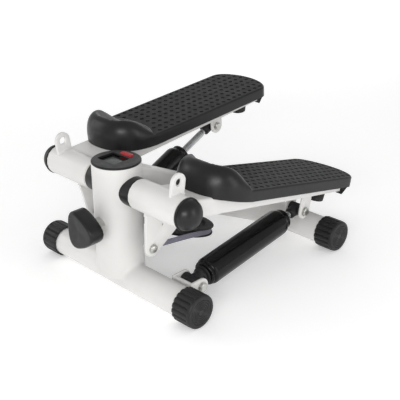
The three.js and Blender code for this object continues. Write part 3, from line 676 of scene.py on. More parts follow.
def foot_cap():
    """Ribbed push-on end cap along local Z, its inner rim at 0 and its face at CAP_LENGTH."""
    per_rib = 12
    count = CAP_RIBS * per_rib
    deep = 2.1 * MM
    face = CAP_LENGTH - 0.1 * MM  # level of the middle of the outer face
    floor = CAP_LENGTH - 6.5 * MM  # level of the inner face
    rim = 3.2 * MM  # radius of the rounded outer rim
    speck = 0.02 * MM  # the skin closes on itself just off the axis

    def groove(k):
        """1 at the middle of a groove, 0 on a rib; a rib is at the bottom."""
        phase = (k / per_rib) % 1 - 0.5
        return math.exp(-((phase / 0.17) ** 2))

    stations = [(CAP_R - 1.2 * MM, 0.0, 0.85), (CAP_R - 0.25 * MM, 0.9 * MM, 1.0), (CAP_R, 2.2 * MM, 1.0)]
    ribs_end = CAP_LENGTH - CAP_RIM
    stations += [(CAP_R, ribs_end * f, 1.0) for f in (0.3, 0.6, 0.85, 0.96)]
    stations += [(CAP_R - 0.1 * MM, ribs_end, 0.65), (CAP_R - 0.2 * MM, ribs_end + 0.8 * MM, 0.3)]
    stations += [(CAP_R - 0.3 * MM, ribs_end + 1.6 * MM, 0.12)]
    for k in range(6):
        a = math.pi / 2 * k / 5
        inwards, down = rim * (1 - math.cos(a)), rim * (1 - math.sin(a))
        stations.append((CAP_R - 0.5 * MM - inwards, CAP_LENGTH - down, 0))
    for radius in (19.6, 16.2, 12.8, 9.4, 6.0):
        for offset, sink in ((0.9, 0), (0.35, 0.8), (-0.35, 0.8), (-0.9, 0)):
            stations.append(((radius + offset) * MM, CAP_LENGTH - sink * MM, 0))
    stations += [(2.6 * MM, face, 0), (speck, face, 0), (speck, floor, 0), (CAP_BORE, floor, 0)]
    stations += [(CAP_BORE, 1.0 * MM, 0), (CAP_BORE + 0.8 * MM, 0.0, 0)]
    rings = []
    for radius, height, ribbed in stations:
        skin = []
        for k in range(count):
            turn = 2 * math.pi * (k - per_rib / 2) / count - math.pi / 2
            r = radius - deep * ribbed * groove(k)
            skin.append((r * math.cos(turn), r * math.sin(turn), height))
        rings.append(skin)
    return loft(rings, closed=True)


def build_base():
    """Cross tubes and their end caps."""
    for row, tube in (("front", FRONT_TUBE), ("rear", REAR_TUBE)):
        half = extent(f"{row}_cross_tube").x / 2
        shell = moved(lathe(pipe(TUBE_R, TUBE_R - TUBE_WALL, -half, half), 128), place(tube, ACROSS))
        add(f"{row}_tube", shell, "frame", PAINT, [f"{row}_cross_tube"])
        for side, sign in SIDES.items():
            node = f"{row}_{side}_foot_cap"
            low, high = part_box(node)
            end = high.x if sign > 0 else low.x
            # local Y is turned to world Z, so that a rib is underneath
            axes = Matrix(((0, 0, sign), (sign, 0, 0), (0, 1, 0))).to_4x4()
            start = Vector((end - sign * CAP_LENGTH, tube.y, tube.z))
            cap = moved(foot_cap(), Matrix.Translation(start) @ axes)
            add(f"{row}_{side}_cap", cap, "frame", PLASTIC, [node])


# ---- column and beam -----------------------------------------------------------------------

def section(width, height, corner):
    """Outline of a rectangular tube, about its middle."""
    half_w, half_h = width / 2, height / 2
    square = [(-half_w, -half_h), (half_w, -half_h), (half_w, half_h), (-half_w, half_h)]
    return rounded(square, corner, closed=True, steps=6)


BEAM_FORWARDS = Vector((0, -math.cos(BEAM_ANGLE), math.sin(BEAM_ANGLE)))
BEAM_UP = Vector((0, math.sin(BEAM_ANGLE), math.cos(BEAM_ANGLE)))


def beam_point(across, up, along):
    """A point of the beam; `along` is measured forwards from the rear tube's axis."""
    return REAR_TUBE + Vector((across, 0, 0)) + BEAM_UP * up + BEAM_FORWARDS * along


def build_beam():
    """Rectangular tube from the rear cross tube up to the column, cut to both, and its welds."""
    def bar(wall, corner, near, far):
        outline = section(BEAM_WIDTH - 2 * wall, BEAM_HEIGHT - 2 * wall, corner)
        return loft([[beam_point(p.x, p.y, along) for p in outline] for along in (near, far)])

    spare, past_end = 19 * MM, 10 * MM
    length = (REAR_TUBE.y - COLUMN.y) / math.cos(BEAM_ANGLE) - spare
    shell = bar(0, BEAM_CORNER, 0, length)
    hollow = bar(BEAM_WALL, 4 * MM, -past_end, length + past_end)
    beam = cut(shell, hollow, column_cutter(), tube_cutter(REAR_TUBE, 0.1))
    add("beam", beam, "frame", PAINT, ["main_beam"])

    outline = section(BEAM_WIDTH, BEAM_HEIGHT, BEAM_CORNER)
    front, rear = [], []  # each spot of a seam with the outward normals of the beam and the tube
    for i, p in enumerate(outline):
        side = outline[(i + 1) % len(outline)] - outline[i - 1]
        out = (Vector((side.y, 0, 0)) - BEAM_UP * side.x).normalized()
        level = REAR_TUBE.z + p.y / math.cos(BEAM_ANGLE)
        y = COLUMN.y + math.sqrt(COLUMN_R**2 - p.x**2)
        spot = Vector((p.x, y, level + (REAR_TUBE.y - y) * math.tan(BEAM_ANGLE)))
        front.append((spot, out, Vector((p.x, y - COLUMN.y, 0)).normalized()))
        if abs(p.y) < TUBE_R:
            spot = beam_point(p.x, p.y, math.sqrt(TUBE_R**2 - p.y**2))
            rear.append((spot, out, (spot - REAR_TUBE - Vector((p.x, 0, 0))).normalized()))
    seam = weld(*zip(*front), 4 * MM, closed=True)
    add("beam_front_weld", seam, "frame", PAINT, sharp=WELD_SHARP)
    for side, sign in SIDES.items():
        kept = [row for row in rear if row[0].x * sign > BEAM_WIDTH / 2 - 0.2 * MM]
        kept.sort(key=lambda row: row[0].z)
        add(f"beam_rear_{side}_weld", weld(*zip(*kept), 4 * MM), "frame", PAINT, sharp=WELD_SHARP)


def build_column():
    """Column with a closed foot, cut to the front tube and bored for the shaft and the knob."""
    low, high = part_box("column_tube")
    axis = (COLUMN.x, COLUMN.y, 0)
    tube = moved(lathe(pipe(COLUMN_R, COLUMN_R - COLUMN_WALL, low.z, high.z), 144), place(axis))
    foot = drum(COLUMN_R - 0.8 * MM, low.z + 0.4 * MM, low.z + 2.4 * MM, axis, UP, 128)
    spindle = middle("knob_spindle")
    column = cut(
        join(tube, foot),
        tube_cutter(FRONT_TUBE),
        drum(SHAFT_HOLE_R, -0.06, 0.06, PIVOT, segments=64),
        drum(6.4 * MM, 0.02, 0.06, (COLUMN.x, COLUMN.y, spindle.z), FORWARDS, 48),
    )
    add("column", column, "frame", PAINT, ["column_tube"])
    lowest = math.degrees(math.acos((low.z - FRONT_TUBE.z) / TUBE_R))
    for side, sign in SIDES.items():
        seam = []
        for k in range(49):
            turn = math.radians(-lowest + 2 * lowest * k / 48)
            out = Vector((0, math.sin(turn), math.cos(turn)))
            y = TUBE_R * out.y
            x = sign * math.sqrt(COLUMN_R**2 - y**2)
            spot = Vector((COLUMN.x + x, FRONT_TUBE.y + y, FRONT_TUBE.z + TUBE_R * out.z))
            seam.append((spot, out, Vector((x, y, 0)).normalized()))
        add(f"column_{side}_weld", weld(*zip(*seam), 6.5 * MM), "frame", PAINT, sharp=WELD_SHARP)


# ---- pivot ---------------------------------------------------------------------------------

def build_shaft():
    """Collars that fill the gaps between the column and the pivot tubes, and the tubes."""
    for side, sign in SIDES.items():
        low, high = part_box(f"{side}_pivot_collar")
        end = high.x if sign > 0 else -low.x
        profile = pipe(COLLAR_R, SHAFT_HOLE_R, 28 * MM, end)
        blank = moved(lathe(profile, 96, 1.0 * MM), place(PIVOT, (sign, 0, 0)))
        collar = cut(blank, column_cutter(0.15 * MM))
        add(f"{side}_collar", collar, "frame", SATIN, [f"{side}_pivot_collar"])
        node = f"{side}_sleeve"
        half = extent(node).x / 2
        sleeve = lathe(pipe(SLEEVE_R, SLEEVE_R - SLEEVE_WALL, -half, half), 128)
        moved(sleeve, place(middle(node), (sign, 0, 0)))
        add(f"{side}_pivot_tube", sleeve, f"{side}_pedal", PAINT, [node])


def build_dome(side, sign):
    """Rounded plug that closes the outer end of the pivot tube."""
    node = f"{side}_end_dome"
    low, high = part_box(node)
    start = low.x if sign > 0 else high.x
    depth = high.x - low.x
    rim, radius, inner = 25 * MM, 23.6 * MM, 21 * MM
    foot = 2.6 * MM  # height of the rim
    quarter = [math.pi / 2 * k / 24 for k in range(25)]
    profile = rounded([(rim, 0.0), (rim, 2.2 * MM), (radius, foot)], 0.5 * MM)
    profile += [(radius * math.cos(a), foot + (depth - foot) * math.sin(a)) for a in quarter[1:-1]]
    profile += [(0.0, depth), (0.0, depth - 2.4 * MM)]
    for a in reversed(quarter[:-1]):
        profile.append((inner * math.cos(a), 1.5 * MM + (depth - 4 * MM) * math.sin(a)))
    profile.append((inner, 0.0))
    mesh = moved(spun(profile, 96), place((start, PIVOT.y, PIVOT.z), (sign, 0, 0)))
    add(f"{side}_dome", mesh, f"{side}_pedal", SATIN, [node])


# ---- bolts ---------------------------------------------------------------------------------

def hexagon(width):
    """Corners of a hexagon with the given width across its flats."""
    return arc(0, 0, width / math.sqrt(3), 30, 330, 5)


def hex_head(width, height):
    """Hexagon with chamfered corners, standing on z = 0."""
    blank = lifted(plate(hexagon(width), height, edge=0.25 * MM), height / 2)
    cone = [*rod(width * 0.56, -1 * MM, height * 0.7)[:3], (width * 0.44, height), (0, height)]
    return boolean(blank, [lathe(cone, 48, 0.3 * MM)], "INTERSECT")


def button_head(radius, height):
    """Domed head with a hexagon socket, standing on z = 0."""
    profile = [(0, 0), (radius, 0), (radius, height * 0.35)]
    for a in (math.radians(degrees) for degrees in range(12, 72, 12)):
        profile.append((radius * math.cos(a), height * (0.35 + 0.65 * math.sin(a))))
    profile += [(radius * 0.35, height), (0, height)]
    socket = lifted(plate(hexagon(radius * 0.8), height, edge=0.1 * MM), height)
    return cut(lathe(profile, 64, 0.3 * MM), socket)


def fastener(shank, head, nut, washer, low, high):
    """Bolt along local Z: its head beyond `high`, its nut beyond `low`."""
    shells = [drum(shank, low - 5 * MM, high + 0.5 * MM, direction=UP, segments=48)]
    thick = 1.2 * MM
    for level, top, turn in ((high, head, Matrix.Identity(4)), (low, nut, UPSIDE_DOWN)):
        disc = lathe(pipe(washer, shank * 0.98, 0, thick), 64, 0.25 * MM)
        for shell in (disc, lifted(top, thick)):
            shells.append(lifted(moved(shell, turn), level))
    return merge(*shells)


def hex_bolt(shank, width, height, washer, half):
    """Bolt along local Z with a nut like its head, through parts that reach `half` each way."""
    return fastener(shank, hex_head(width, height), hex_head(width, height), washer, -half, half)


# ---- pedals --------------------------------------------------------------------------------

def half_width(y, inset=0.0):
    """Half the foot plate's width at y: straight sides with rounded toe and heel."""
    if y < TOE_Y:
        t, power = (TOE_Y - y) / (TOE_DEPTH - inset), TOE_POWER
    else:
        t, power = max(0.0, y - HEEL_Y) / (HEEL_DEPTH - inset), 2
    return (PLATE_HALF - inset) * max(0.0, 1 - t**power) ** (1 / power)


def clamped(value):
    return min(1.0, max(0.0, value))


def smooth_step(t):
    return t * t * (3 - 2 * t)


def guard(x, y, inset):
    """Height of the toe guard above the tread: a horseshoe ridge that fades along the sides,
    upright outside and dished inside."""
    ahead = (TOE_Y - y) / (TOE_DEPTH - inset)
    aside = abs(x) / (PLATE_HALF - inset)
    reach = min(1.0, (max(0.0, ahead) ** TOE_POWER + aside**TOE_POWER) ** (1 / TOE_POWER))
    turn = math.atan2(aside, ahead + 0.09) / (math.pi / 2)  # 0 at the toe, 1 at the side
    fade = clamped((turn - 0.40) / 0.54)
    if reach > GUARD_CREST:
        wall = (reach - GUARD_CREST) / (1 - GUARD_CREST)
        profile = math.sqrt(max(0.0, 1 - wall * wall))
    else:
        profile = (reach / GUARD_CREST) ** 2
    return GUARD_HEIGHT * (1 - fade * fade) * profile


def tread_front(x):
    """Curved line where the toe guard ends and the dimpled tread starts."""
    t = min(1.0, abs(x) / PLATE_HALF)
    return TREAD_FRONT_MID - (TREAD_FRONT_MID - TREAD_FRONT_SIDE) * t**2.4


def lip(x, y):
    """Low rounded step along the guard's rear edge."""
    behind = tread_front(x) - y
    if behind < 0:
        return 0.0
    rounding = 1.6 * MM
    rise = 1.0 if behind > rounding else math.sqrt(1 - (1 - behind / rounding) ** 2)
    return LIP * rise * math.exp(-((behind / (11 * MM)) ** 2))


def rolled(x, y):
    """How far the rolled edge has dropped at a point of the plate."""
    depth = HEEL_DEPTH if y > HEEL_Y else PLATE_HALF
    if y < TOE_Y:
        end, power = (TOE_Y - y) / TOE_DEPTH, TOE_POWER
    else:
        end, power = max(0.0, y - HEEL_Y) / HEEL_DEPTH, 2
    reach = ((abs(x) / PLATE_HALF) ** power + end**power) ** (1 / power)
    margin = (1 - min(1.0, reach)) * depth
    if margin >= EDGE_R:
        return 0.0
    return EDGE_R - math.sqrt(max(0.0, EDGE_R**2 - (EDGE_R - margin) ** 2))


def plate_stations(inset):
    """Places along the plate for its sections, closest together at the lip."""
    toe, heel = TOE_DEPTH - inset, HEEL_DEPTH - inset
    stations = [TOE_Y - toe * math.cos(math.radians(a)) for a in (1, 3, 5, 7, 9, *range(12, 75, 3))]
    start, plain = stations[-1], TREAD_FRONT_MID + 6 * MM
    fine = int((plain - start) / (1.1 * MM))
    stations += [start + (plain - start) * k / fine for k in range(1, fine + 1)]
    stations += [plain + (HEEL_Y - plain) * k / 30 for k in range(1, 31)]
    stations += [HEEL_Y + heel * math.cos(math.radians(a)) for a in (*range(86, 8, -4), 6, 4, 2)]
    return stations


def skirt(y):
    """Bottom edge of the skirt, which rises a little towards the toe."""
    return SKIRT_Z + 4 * MM * clamped((TOE_Y - y) / (50 * MM))


def plate_skin(inset, bottom, top):
    """Closed loft of the foot plate's outline, pulled in by `inset`."""
    columns = 44  # of faces on each half of its top
    rings = []
    for y in plate_stations(inset):
        half = half_width(y, inset)
        across = [half * math.cos(math.pi * k / (2 * columns)) for k in range(columns)]
        across += [0.0, *(-x for x in reversed(across))]
        heights = [top(x, y) for x in across]
        low = bottom(y)
        wall = [low + (heights[0] - low) * k / 4 for k in range(4)]
        skin = [(half, y, z) for z in wall] + [(x, y, z) for x, z in zip(across, heights)]
        rings.append(skin + [(-half, y, z) for z in reversed(wall)])
    return loft(rings)


def relax(mesh, chosen):
    """Softens the heights of the chosen vertices."""
    work = bmesh.new()
    work.from_mesh(mesh)
    vertices = [v for v in work.verts if chosen(v.co)]
    for _ in range(6):
        bmesh.ops.smooth_vert(work, verts=vertices, factor=0.5, use_axis_z=True)
    work.to_mesh(mesh)
    work.free()
    return mesh


def heel_lip():
    """Wedge under the heel, just behind the end of the arm, slanted at both ends."""
    front, half, slant, deep = 406 * MM, 55 * MM, 11 * MM, 20.5 * MM
    rings = []
    for k in range(45):
        x = half * math.cos(math.pi * k / 44)
        rear = HEEL_Y + HEEL_DEPTH * math.sqrt(1 - (x / PLATE_HALF) ** 2) - 0.6 * MM
        drop = deep * min(1.0, 0.02 + (half - abs(x)) / slant)
        low, top = SKIRT_Z - drop, SKIRT_Z + 2 * MM
        reach = min(rear - front, 19 * MM)
        outline = [(0, top), (0, low + 1.2 * MM * drop / deep), (0.06, low + 0.3 * MM), (0.12, low)]
        outline += [(0.2, low + 0.06 * drop), (1, SKIRT_Z - 0.4 * MM), (1, top)]
        rings.append([(x, front + f * reach, z) for f, z in outline])
    return loft(rings)


def plate_shell():
    """The foot plate's moulding: skirt, rolled edge and toe guard, hollow underneath."""
    def outside(x, y):
        return TREAD_Z + guard(x, y, 0.0) + lip(x, y) - rolled(x, y)

    def inside(x, y):
        return TREAD_Z + guard(x, y, SKIN) - 6.5 * MM

    def crest_end(spot):
        """True where the guard's crest runs out along the plate's sides."""
        near = TOE_Y - 22 * MM < spot.y < TOE_Y + 3 * MM
        return near and spot.z > TREAD_Z + 2.5 * MM and abs(spot.x) < 0.985 * half_width(spot.y)

    outer = relax(plate_skin(0.0, skirt, outside), crest_end)
    return cut(outer, plate_skin(SKIN, lambda y: -10 * MM, inside))


TREAD_PITCH_X = 15.2 * MM
TREAD_PITCH_Y = 14.3 * MM
DIMPLE_R = 3.7 * MM
DIMPLE_DEPTH = 1.6 * MM
PAD_THICK = 3.2 * MM
TREAD_INSET = 3.0 * MM


def tread_outline():
    """Plan outline of the dimpled field, inside the rolled edge."""
    side, depth = PLATE_HALF - TREAD_INSET, HEEL_DEPTH - TREAD_INSET
    points = [(x, tread_front(x)) for x in (side * (1 - 2 * k / 32) for k in range(33))]
    for a in (math.pi * (1 - k / 32) for k in range(33)):
        points.append((side * math.cos(a), HEEL_Y + depth * math.sin(a)))
    return points


def tread_pad():
    """Dimpled field: a sheet of square cells, each with a round dimple, trimmed to its outline."""
    columns, rows = 8, 22
    first = 112 * MM  # the first row's middle
    reach = 4  # steps from a cell's middle to its side
    radii = {1: (DIMPLE_R * 0.4, 1.0), 2: (DIMPLE_R * 0.84, 0.92), 3: (DIMPLE_R, 0.0)}

    def point(column, row, i, j):
        """Vertex of a cell, i steps across and j along from the cell's middle."""
        x = (column - (columns - 1) / 2) * TREAD_PITCH_X
        y = first + row * TREAD_PITCH_Y
        step = max(abs(i), abs(j))
        plain = abs(x) > half_width(y, TREAD_INSET) - DIMPLE_R - 1.2 * MM
        plain = plain or y - DIMPLE_R - 1.5 * MM < tread_front(x) or y + DIMPLE_R > PLATE_REAR - 5 * MM
        if plain or step == reach:
            return (x + i * TREAD_PITCH_X / (2 * reach), y + j * TREAD_PITCH_Y / (2 * reach), TREAD_Z)
        if step == 0:
            return (x, y, TREAD_Z - DIMPLE_DEPTH)
        radius, depth = radii[step]
        turn = math.atan2(j, i)
        return (x + radius * math.cos(turn), y + radius * math.sin(turn), TREAD_Z - DIMPLE_DEPTH * depth)

    across, along = columns * 2 * reach + 1, rows * 2 * reach + 1
    vertices = []
    for n in range(along):
        row = min(n // (2 * reach), rows - 1)
        for m in range(across):
            column = min(m // (2 * reach), columns - 1)
            i, j = m - (2 * column + 1) * reach, n - (2 * row + 1) * reach
            vertices.append(point(column, row, i, j))
    under = len(vertices)
    vertices += [(x, y, TREAD_Z - PAD_THICK) for x, y, _ in vertices]
    faces = []
    for n in range(along - 1):
        for m in range(across - 1):
            a = n * across + m
            faces.append((a, a + 1, a + across + 1, a + across))
            faces.append((under + a, under + a + across, under + a + across + 1, under + a + 1))
    border = list(range(across))
    border += [n * across + across - 1 for n in range(1, along)]
    border += [(along - 1) * across + m for m in range(across - 2, -1, -1)]
    border += [n * across for n in range(along - 2, 0, -1)]
    for a, b in zip(border, border[1:] + border[:1]):
        faces.append((a, under + a, under + b, b))
    sheet = mesh_of(vertices, faces)
    trim = lifted(plate(tread_outline(), 12 * MM, edge=0.3 * MM), TREAD_Z + 0.25 * MM - 6 * MM)
    return boolean(sheet, [trim], "INTERSECT")


def build_footplate(side, sign):
    """Moulded foot plate with the dimpled tread bedded in its top."""
    at = pedal_frame(side, sign * PEDAL_X)
    bed = lifted(plate(tread_outline(), 6 * MM, edge=0.2 * MM), TREAD_Z - PAD_THICK - 0.2 * MM + 3 * MM)
    shell = merge(cut(plate_shell(), bed), heel_lip())
    add(f"{side}_foot_plate", moved(shell, at), f"{side}_pedal", SATIN, [f"{side}_footplate"], sharp=40)
    pad = lifted(tread_pad(), -0.1 * MM)
    add(f"{side}_tread", moved(pad, at), f"{side}_pedal", TREAD, sharp=30)


ARM_HALF = 40.5 * MM
ARM_TOP = 24 * MM
ARM_WALL = 2 * MM
ARM_FRONT = 6 * MM
ARM_REAR = 405 * MM
ARM_LOW = -12 * MM  # lower edge of the arm's sides at its front end
ARM_TIP = -5 * MM  # and at its rear end
ARM_NECK = 8 * MM  # how far the arm's top is pressed down in front of the foot plate
TAB_X = 127.3 * MM
TAB_THICK = 5 * MM


def arm_channel(sign):
    """Folded steel channel under the foot plate, cut to the pivot tube."""
    bend = 4.5 * MM
    rise, rise_length = 62 * MM, 24 * MM  # where the top comes up from the neck

    def fold(half, top, bottom, radius):
        return rounded([(-half, bottom), (-half, top), (half, top), (half, bottom)], radius)

    def u_section(y):
        bottom = ARM_LOW + (ARM_TIP - ARM_LOW) * (y - ARM_FRONT) / (ARM_REAR - ARM_FRONT)
        top = ARM_TOP - ARM_NECK * (1 - smooth_step(clamped((y - rise) / rise_length)))
        outside = fold(ARM_HALF, top, bottom, bend)
        inside = fold(ARM_HALF - ARM_WALL, top - ARM_WALL, bottom, bend - ARM_WALL)
        return [(p.x, y, p.y) for p in outside + inside[::-1]]

    stations = [ARM_FRONT, 30 * MM, *(rise + rise_length * k / 8 for k in range(9))]
    stations += [180 * MM, 290 * MM, ARM_REAR]
    channel = loft([u_section(y) for y in stations])
    tab = sign * (TAB_X - PEDAL_X)
    slot = TAB_THICK / 2 + 0.2 * MM
    notch = rounded_box((tab - slot, 0, 15 * MM), (tab + slot, 14 * MM, ARM_TOP + 2 * MM), 0.1 * MM)
    return cut(channel, notch, sleeve_cutter(0.06))


def band_tab():
    """Upright ear on the pivot tube with a hole for an exercise band."""
    half, top, eye = 13.75 * MM, 40.6 * MM, 6 * MM
    outline = [(half, 12 * MM)] + arc(0, top, half, 0, 180, 32) + [(-half, 12 * MM)]
    shape = plate(outline, TAB_THICK, [circle(0, top, eye)], edge=0.9 * MM)
    tilt = Matrix.Rotation(math.radians(4), 4, "X")
    return cut(moved(shape, tilt @ UPRIGHT), sleeve_cutter())


BRACKET_X = 82.6 * MM
BRACKET_THICK = 5 * MM
BOLT_Y = 10.3 * MM
BOLT_Z = -77 * MM


def drive_gusset():
    """Plate under the arm that the strap pulls on."""
    top = ARM_TOP - ARM_NECK - ARM_WALL - 0.2 * MM
    outline = [(-15 * MM, -14 * MM)] + arc(BOLT_Y, BOLT_Z, 13.4 * MM, 200, 318, 20)
    outline += [(98 * MM, -8 * MM), (98 * MM, top), (0, top)]
    holes = [circle(BOLT_Y, BOLT_Z, 3.3 * MM), circle(24 * MM, -40 * MM, 2 * MM, 18)]
    shape = plate(outline, BRACKET_THICK, holes, edge=0.7 * MM)
    return cut(moved(shape, UPRIGHT), sleeve_cutter())


def tube_weld(x, facing, start, end, size):
    """Fillet round the pivot tube against a plate face at x, between two angles in degrees."""
    points, plate_out, tube_out = [], [], []
    steps = max(8, int(abs(end - start) / 5))
    for k in range(steps + 1):
        a = math.radians(start + (end - start) * k / steps)
        out = Vector((0, math.cos(a), math.sin(a)))
        points.append(Vector((x, 0, 0)) + out * SLEEVE_R)
        plate_out.append(Vector((facing, 0, 0)))
        tube_out.append(out)
    return weld(points, plate_out, tube_out, size)


UPPER_PIN = Vector((326 * MM, -39 * MM))  # its Y and Z in the pedal's frame
CLEVIS_INNER = 13.5 * MM
CLEVIS_OUTER = 16.5 * MM
DAMPER_X = 114 * MM


def on_pedal(side, x, y, z):
    """Where a spot of the pedal is in the machine; x is its distance from the middle plane."""
    return pedal_frame(side) @ Vector((SIDES[side] * x, y, z))


def upper_clevis():
    """Folded bracket under the arm that holds the top of the damper."""
    top = ARM_TOP - ARM_WALL - 0.2 * MM
    y, z = UPPER_PIN
    radius = 14 * MM
    outline = [(y - radius, top)] + arc(y, z, radius, 180, 360, 32) + [(y + radius, top)]
    ears = []
    for sign in (1, -1):
        ear = plate(outline, CLEVIS_OUTER - CLEVIS_INNER, [circle(y, z, 4.3 * MM)], edge=0.6 * MM)
        aside = sign * (CLEVIS_INNER + CLEVIS_OUTER) / 2
        ears.append(moved(ear, Matrix.Translation((aside, 0, 0)) @ UPRIGHT))
    half, length = CLEVIS_OUTER - 0.5 * MM, radius - 0.2 * MM
    web = rounded_box((-half, y - length, top - 3 * MM), (half, y + length, top - 0.05 * MM), 0.4 * MM)
    return join(*ears, web)


def stop_bumper(side):
    """Rubber foot on a threaded stud, which lands on the rear cross tube."""
    node = f"{side}_stop_bumper"
    into_pedal = pedal_frame(side).inverted()
    spots = [into_pedal @ v.co for v in frame["nodes"][node].data.vertices]
    low, high = min(p.z for p in spots), max(p.z for p in spots)
    at = Vector([(min(p[k] for p in spots) + max(p[k] for p in spots)) / 2 for k in range(2)] + [0])
    place_at = pedal_frame(side) @ Matrix.Translation(at)
    base = low + 20 * MM
    profile = [(0, low), (12.6 * MM, low), (13.8 * MM, low + 1.2 * MM), (15.4 * MM, base - 2.5 * MM)]
    profile += [(14 * MM, base), (6 * MM, base), (6 * MM, high), (0, high)]
    foot = lathe(profile, 72, 1.0 * MM)
    add(f"{side}_bumper", moved(foot, place_at), f"{side}_pedal", RUBBER, [node])
    washer = lifted(lathe(pipe(12 * MM, 6.2 * MM, 0, 1.6 * MM), 72, 0.4 * MM), base + 0.1 * MM)
    nut = cut(hex_head(17 * MM, 6 * MM), drum(6.1 * MM, -0.01, 0.01, direction=UP, segments=48))
    top = merge(washer, lifted(nut, base + 1.8 * MM))
    add(f"{side}_bumper_nut", moved(top, place_at), f"{side}_pedal", ZINC)


def build_pedal(side, sign):
    """Everything on a pedal except its pivot tube."""
    body = f"{side}_pedal"
    build_dome(side, sign)
    build_footplate(side, sign)
    for name, mesh, x, node in (
        ("arm", arm_channel(sign), PEDAL_X, "arm_tray"),
        ("tab", band_tab(), TAB_X, "band_tab"),
        ("gusset", drive_gusset(), BRACKET_X, "drive_bracket"),
        ("top_clevis", upper_clevis(), DAMPER_X, "upper_clevis"),
    ):
        moved(mesh, pedal_frame(side, sign * x))
        add(f"{side}_{name}", mesh, body, PAINT, [f"{side}_{node}"])
    beads = []
    for face in (1, -1):
        beads.append(tube_weld(sign * TAB_X + face * TAB_THICK / 2, face, 60, 124, 3.2 * MM))
        beads.append(tube_weld(sign * BRACKET_X + face * BRACKET_THICK / 2, face, -28, -123, 2.8 * MM))
    add(f"{side}_tube_welds", moved(merge(*beads), pedal_frame(side)), body, PAINT, sharp=60)
    head, nut, face = button_head(6.6 * MM, 4.2 * MM), hex_head(10 * MM, 4.6 * MM), BRACKET_THICK / 2
    bolt = fastener(3 * MM, head, nut, 7.6 * MM, -face - 6.4 * MM, face)
    moved(bolt, place(on_pedal(side, BRACKET_X, BOLT_Y, BOLT_Z), (sign, 0, 0)))
    add(f"{side}_strap_screw", bolt, body, ZINC, [f"{side}_strap_bolt"])
    pin = hex_bolt(4 * MM, 13 * MM, 4.4 * MM, 8.2 * MM, CLEVIS_OUTER)
    moved(pin, place(on_pedal(side, DAMPER_X, *UPPER_PIN), (sign, 0, 0)))
    add(f"{side}_top_pin", pin, body, ZINC, [f"{side}_upper_pin"])
    stop_bumper(side)


# ---- dampers -------------------------------------------------------------------------------

CYLINDER_R = 23 * MM
CYLINDER_START = 26 * MM
CYLINDER_END = 226 * MM
ROD_R = 6.6 * MM
EYE_REACH = 22 * MM
ROD_LENGTH = 182 * MM


def damper_body():
    """Enamelled cylinder along local Z with a spun shoulder and a crimped lower end."""
    start, end, r = CYLINDER_START, CYLINDER_END, CYLINDER_R
    nose, shoulder = 18.2 * MM, end - 21 * MM
    crimp = [(0, 0), (18.5, 0), (20.5, 1.6), (20.5, 3.4), (19.4, 4.4), (19.4, 5.4), (21.6, 6.6)]
    profile = [(radius * MM, start + z * MM) for radius, z in crimp]
    profile += [(r, start + 10 * MM), (r, shoulder)]
    for k in range(1, 7):
        a = math.pi / 2 * k / 6
        profile.append((nose + (r - nose) * math.cos(a), shoulder + 11 * MM * math.sin(a)))
    profile += [(nose - 0.8 * MM, end - 9.2 * MM), (nose, end - 8 * MM), (nose, end - 3 * MM)]
    bore, inner = ROD_R + 0.3 * MM, r - 2.5 * MM
    profile += [(nose - 2 * MM, end), (bore + 1.2 * MM, end), (bore, end - 1.2 * MM), (bore, end - 18 * MM)]
    profile += [(inner, end - 22 * MM), (inner, start + 12 * MM), (0, start + 12 * MM)]
    return lathe(profile, 112, 0.9 * MM)


def eye_piece(radius, half, bore, neck):
    """Eye about local X with a turned neck along local Z."""
    barrel = moved(lathe(rod(radius, -half, half), 72, 1.2 * MM), turn_from_z(ACROSS))
    return cut(join(barrel, lathe(neck, 72, 0.8 * MM)), drum(bore, -half - 0.01, half + 0.01, segments=48))


def build_damper(side):
    """Damper from its lower pin to its upper pin, with its piston rod and both eyes."""
    lower = middle(f"{side}_lower_pin")
    upper = on_pedal(side, DAMPER_X, *UPPER_PIN)
    span = upper - lower
    at = place(lower, span)
    cylinder = moved(damper_body(), at)
    add(f"{side}_damper_body", cylinder, f"{side}_damper", DAMPER, [f"{side}_damper_cylinder"])
    neck = [(0, 5), (11, 5), (11, 15), (14, 17), (14, 19), (11.5, 20.5), (11.5, 22), (16, 23), (16, 25.8)]
    neck = [(radius * MM, z * MM) for radius, z in (*neck, (0, 25.8))]
    low_eye = moved(eye_piece(11 * MM, 17 * MM, 5.3 * MM, neck), at)
    add(f"{side}_damper_foot", low_eye, f"{side}_damper", PLASTIC, [f"{side}_lower_eye"])
    rod_end, tip_r = span.length - EYE_REACH - 0.2 * MM, ROD_R - 0.7 * MM
    piston = rod_end - ROD_LENGTH
    profile = [*rod(20 * MM, piston, piston + 14 * MM)[:3], (ROD_R, piston + 14 * MM)]
    profile += [(ROD_R, rod_end - 7 * MM), (tip_r, rod_end - 6 * MM), (tip_r, rod_end), (0, rod_end)]
    piston_rod = moved(lathe(profile, 72, 0.4 * MM), at)
    add(f"{side}_damper_rod", piston_rod, f"{side}_rod", CHROME, [f"{side}_piston_rod"])
    neck = [(0, -EYE_REACH), (8.2 * MM, -EYE_REACH), (9.5 * MM, -EYE_REACH + 1.5 * MM)]
    neck += [(9.5 * MM, -5 * MM), (0, -5 * MM)]
    top_eye = moved(eye_piece(10 * MM, 13.2 * MM, 6 * MM, neck), place(upper, span))
    add(f"{side}_rod_eye", top_eye, f"{side}_rod", PLASTIC, [f"{side}_upper_eye"])
    build_lower_clevis(side, lower)


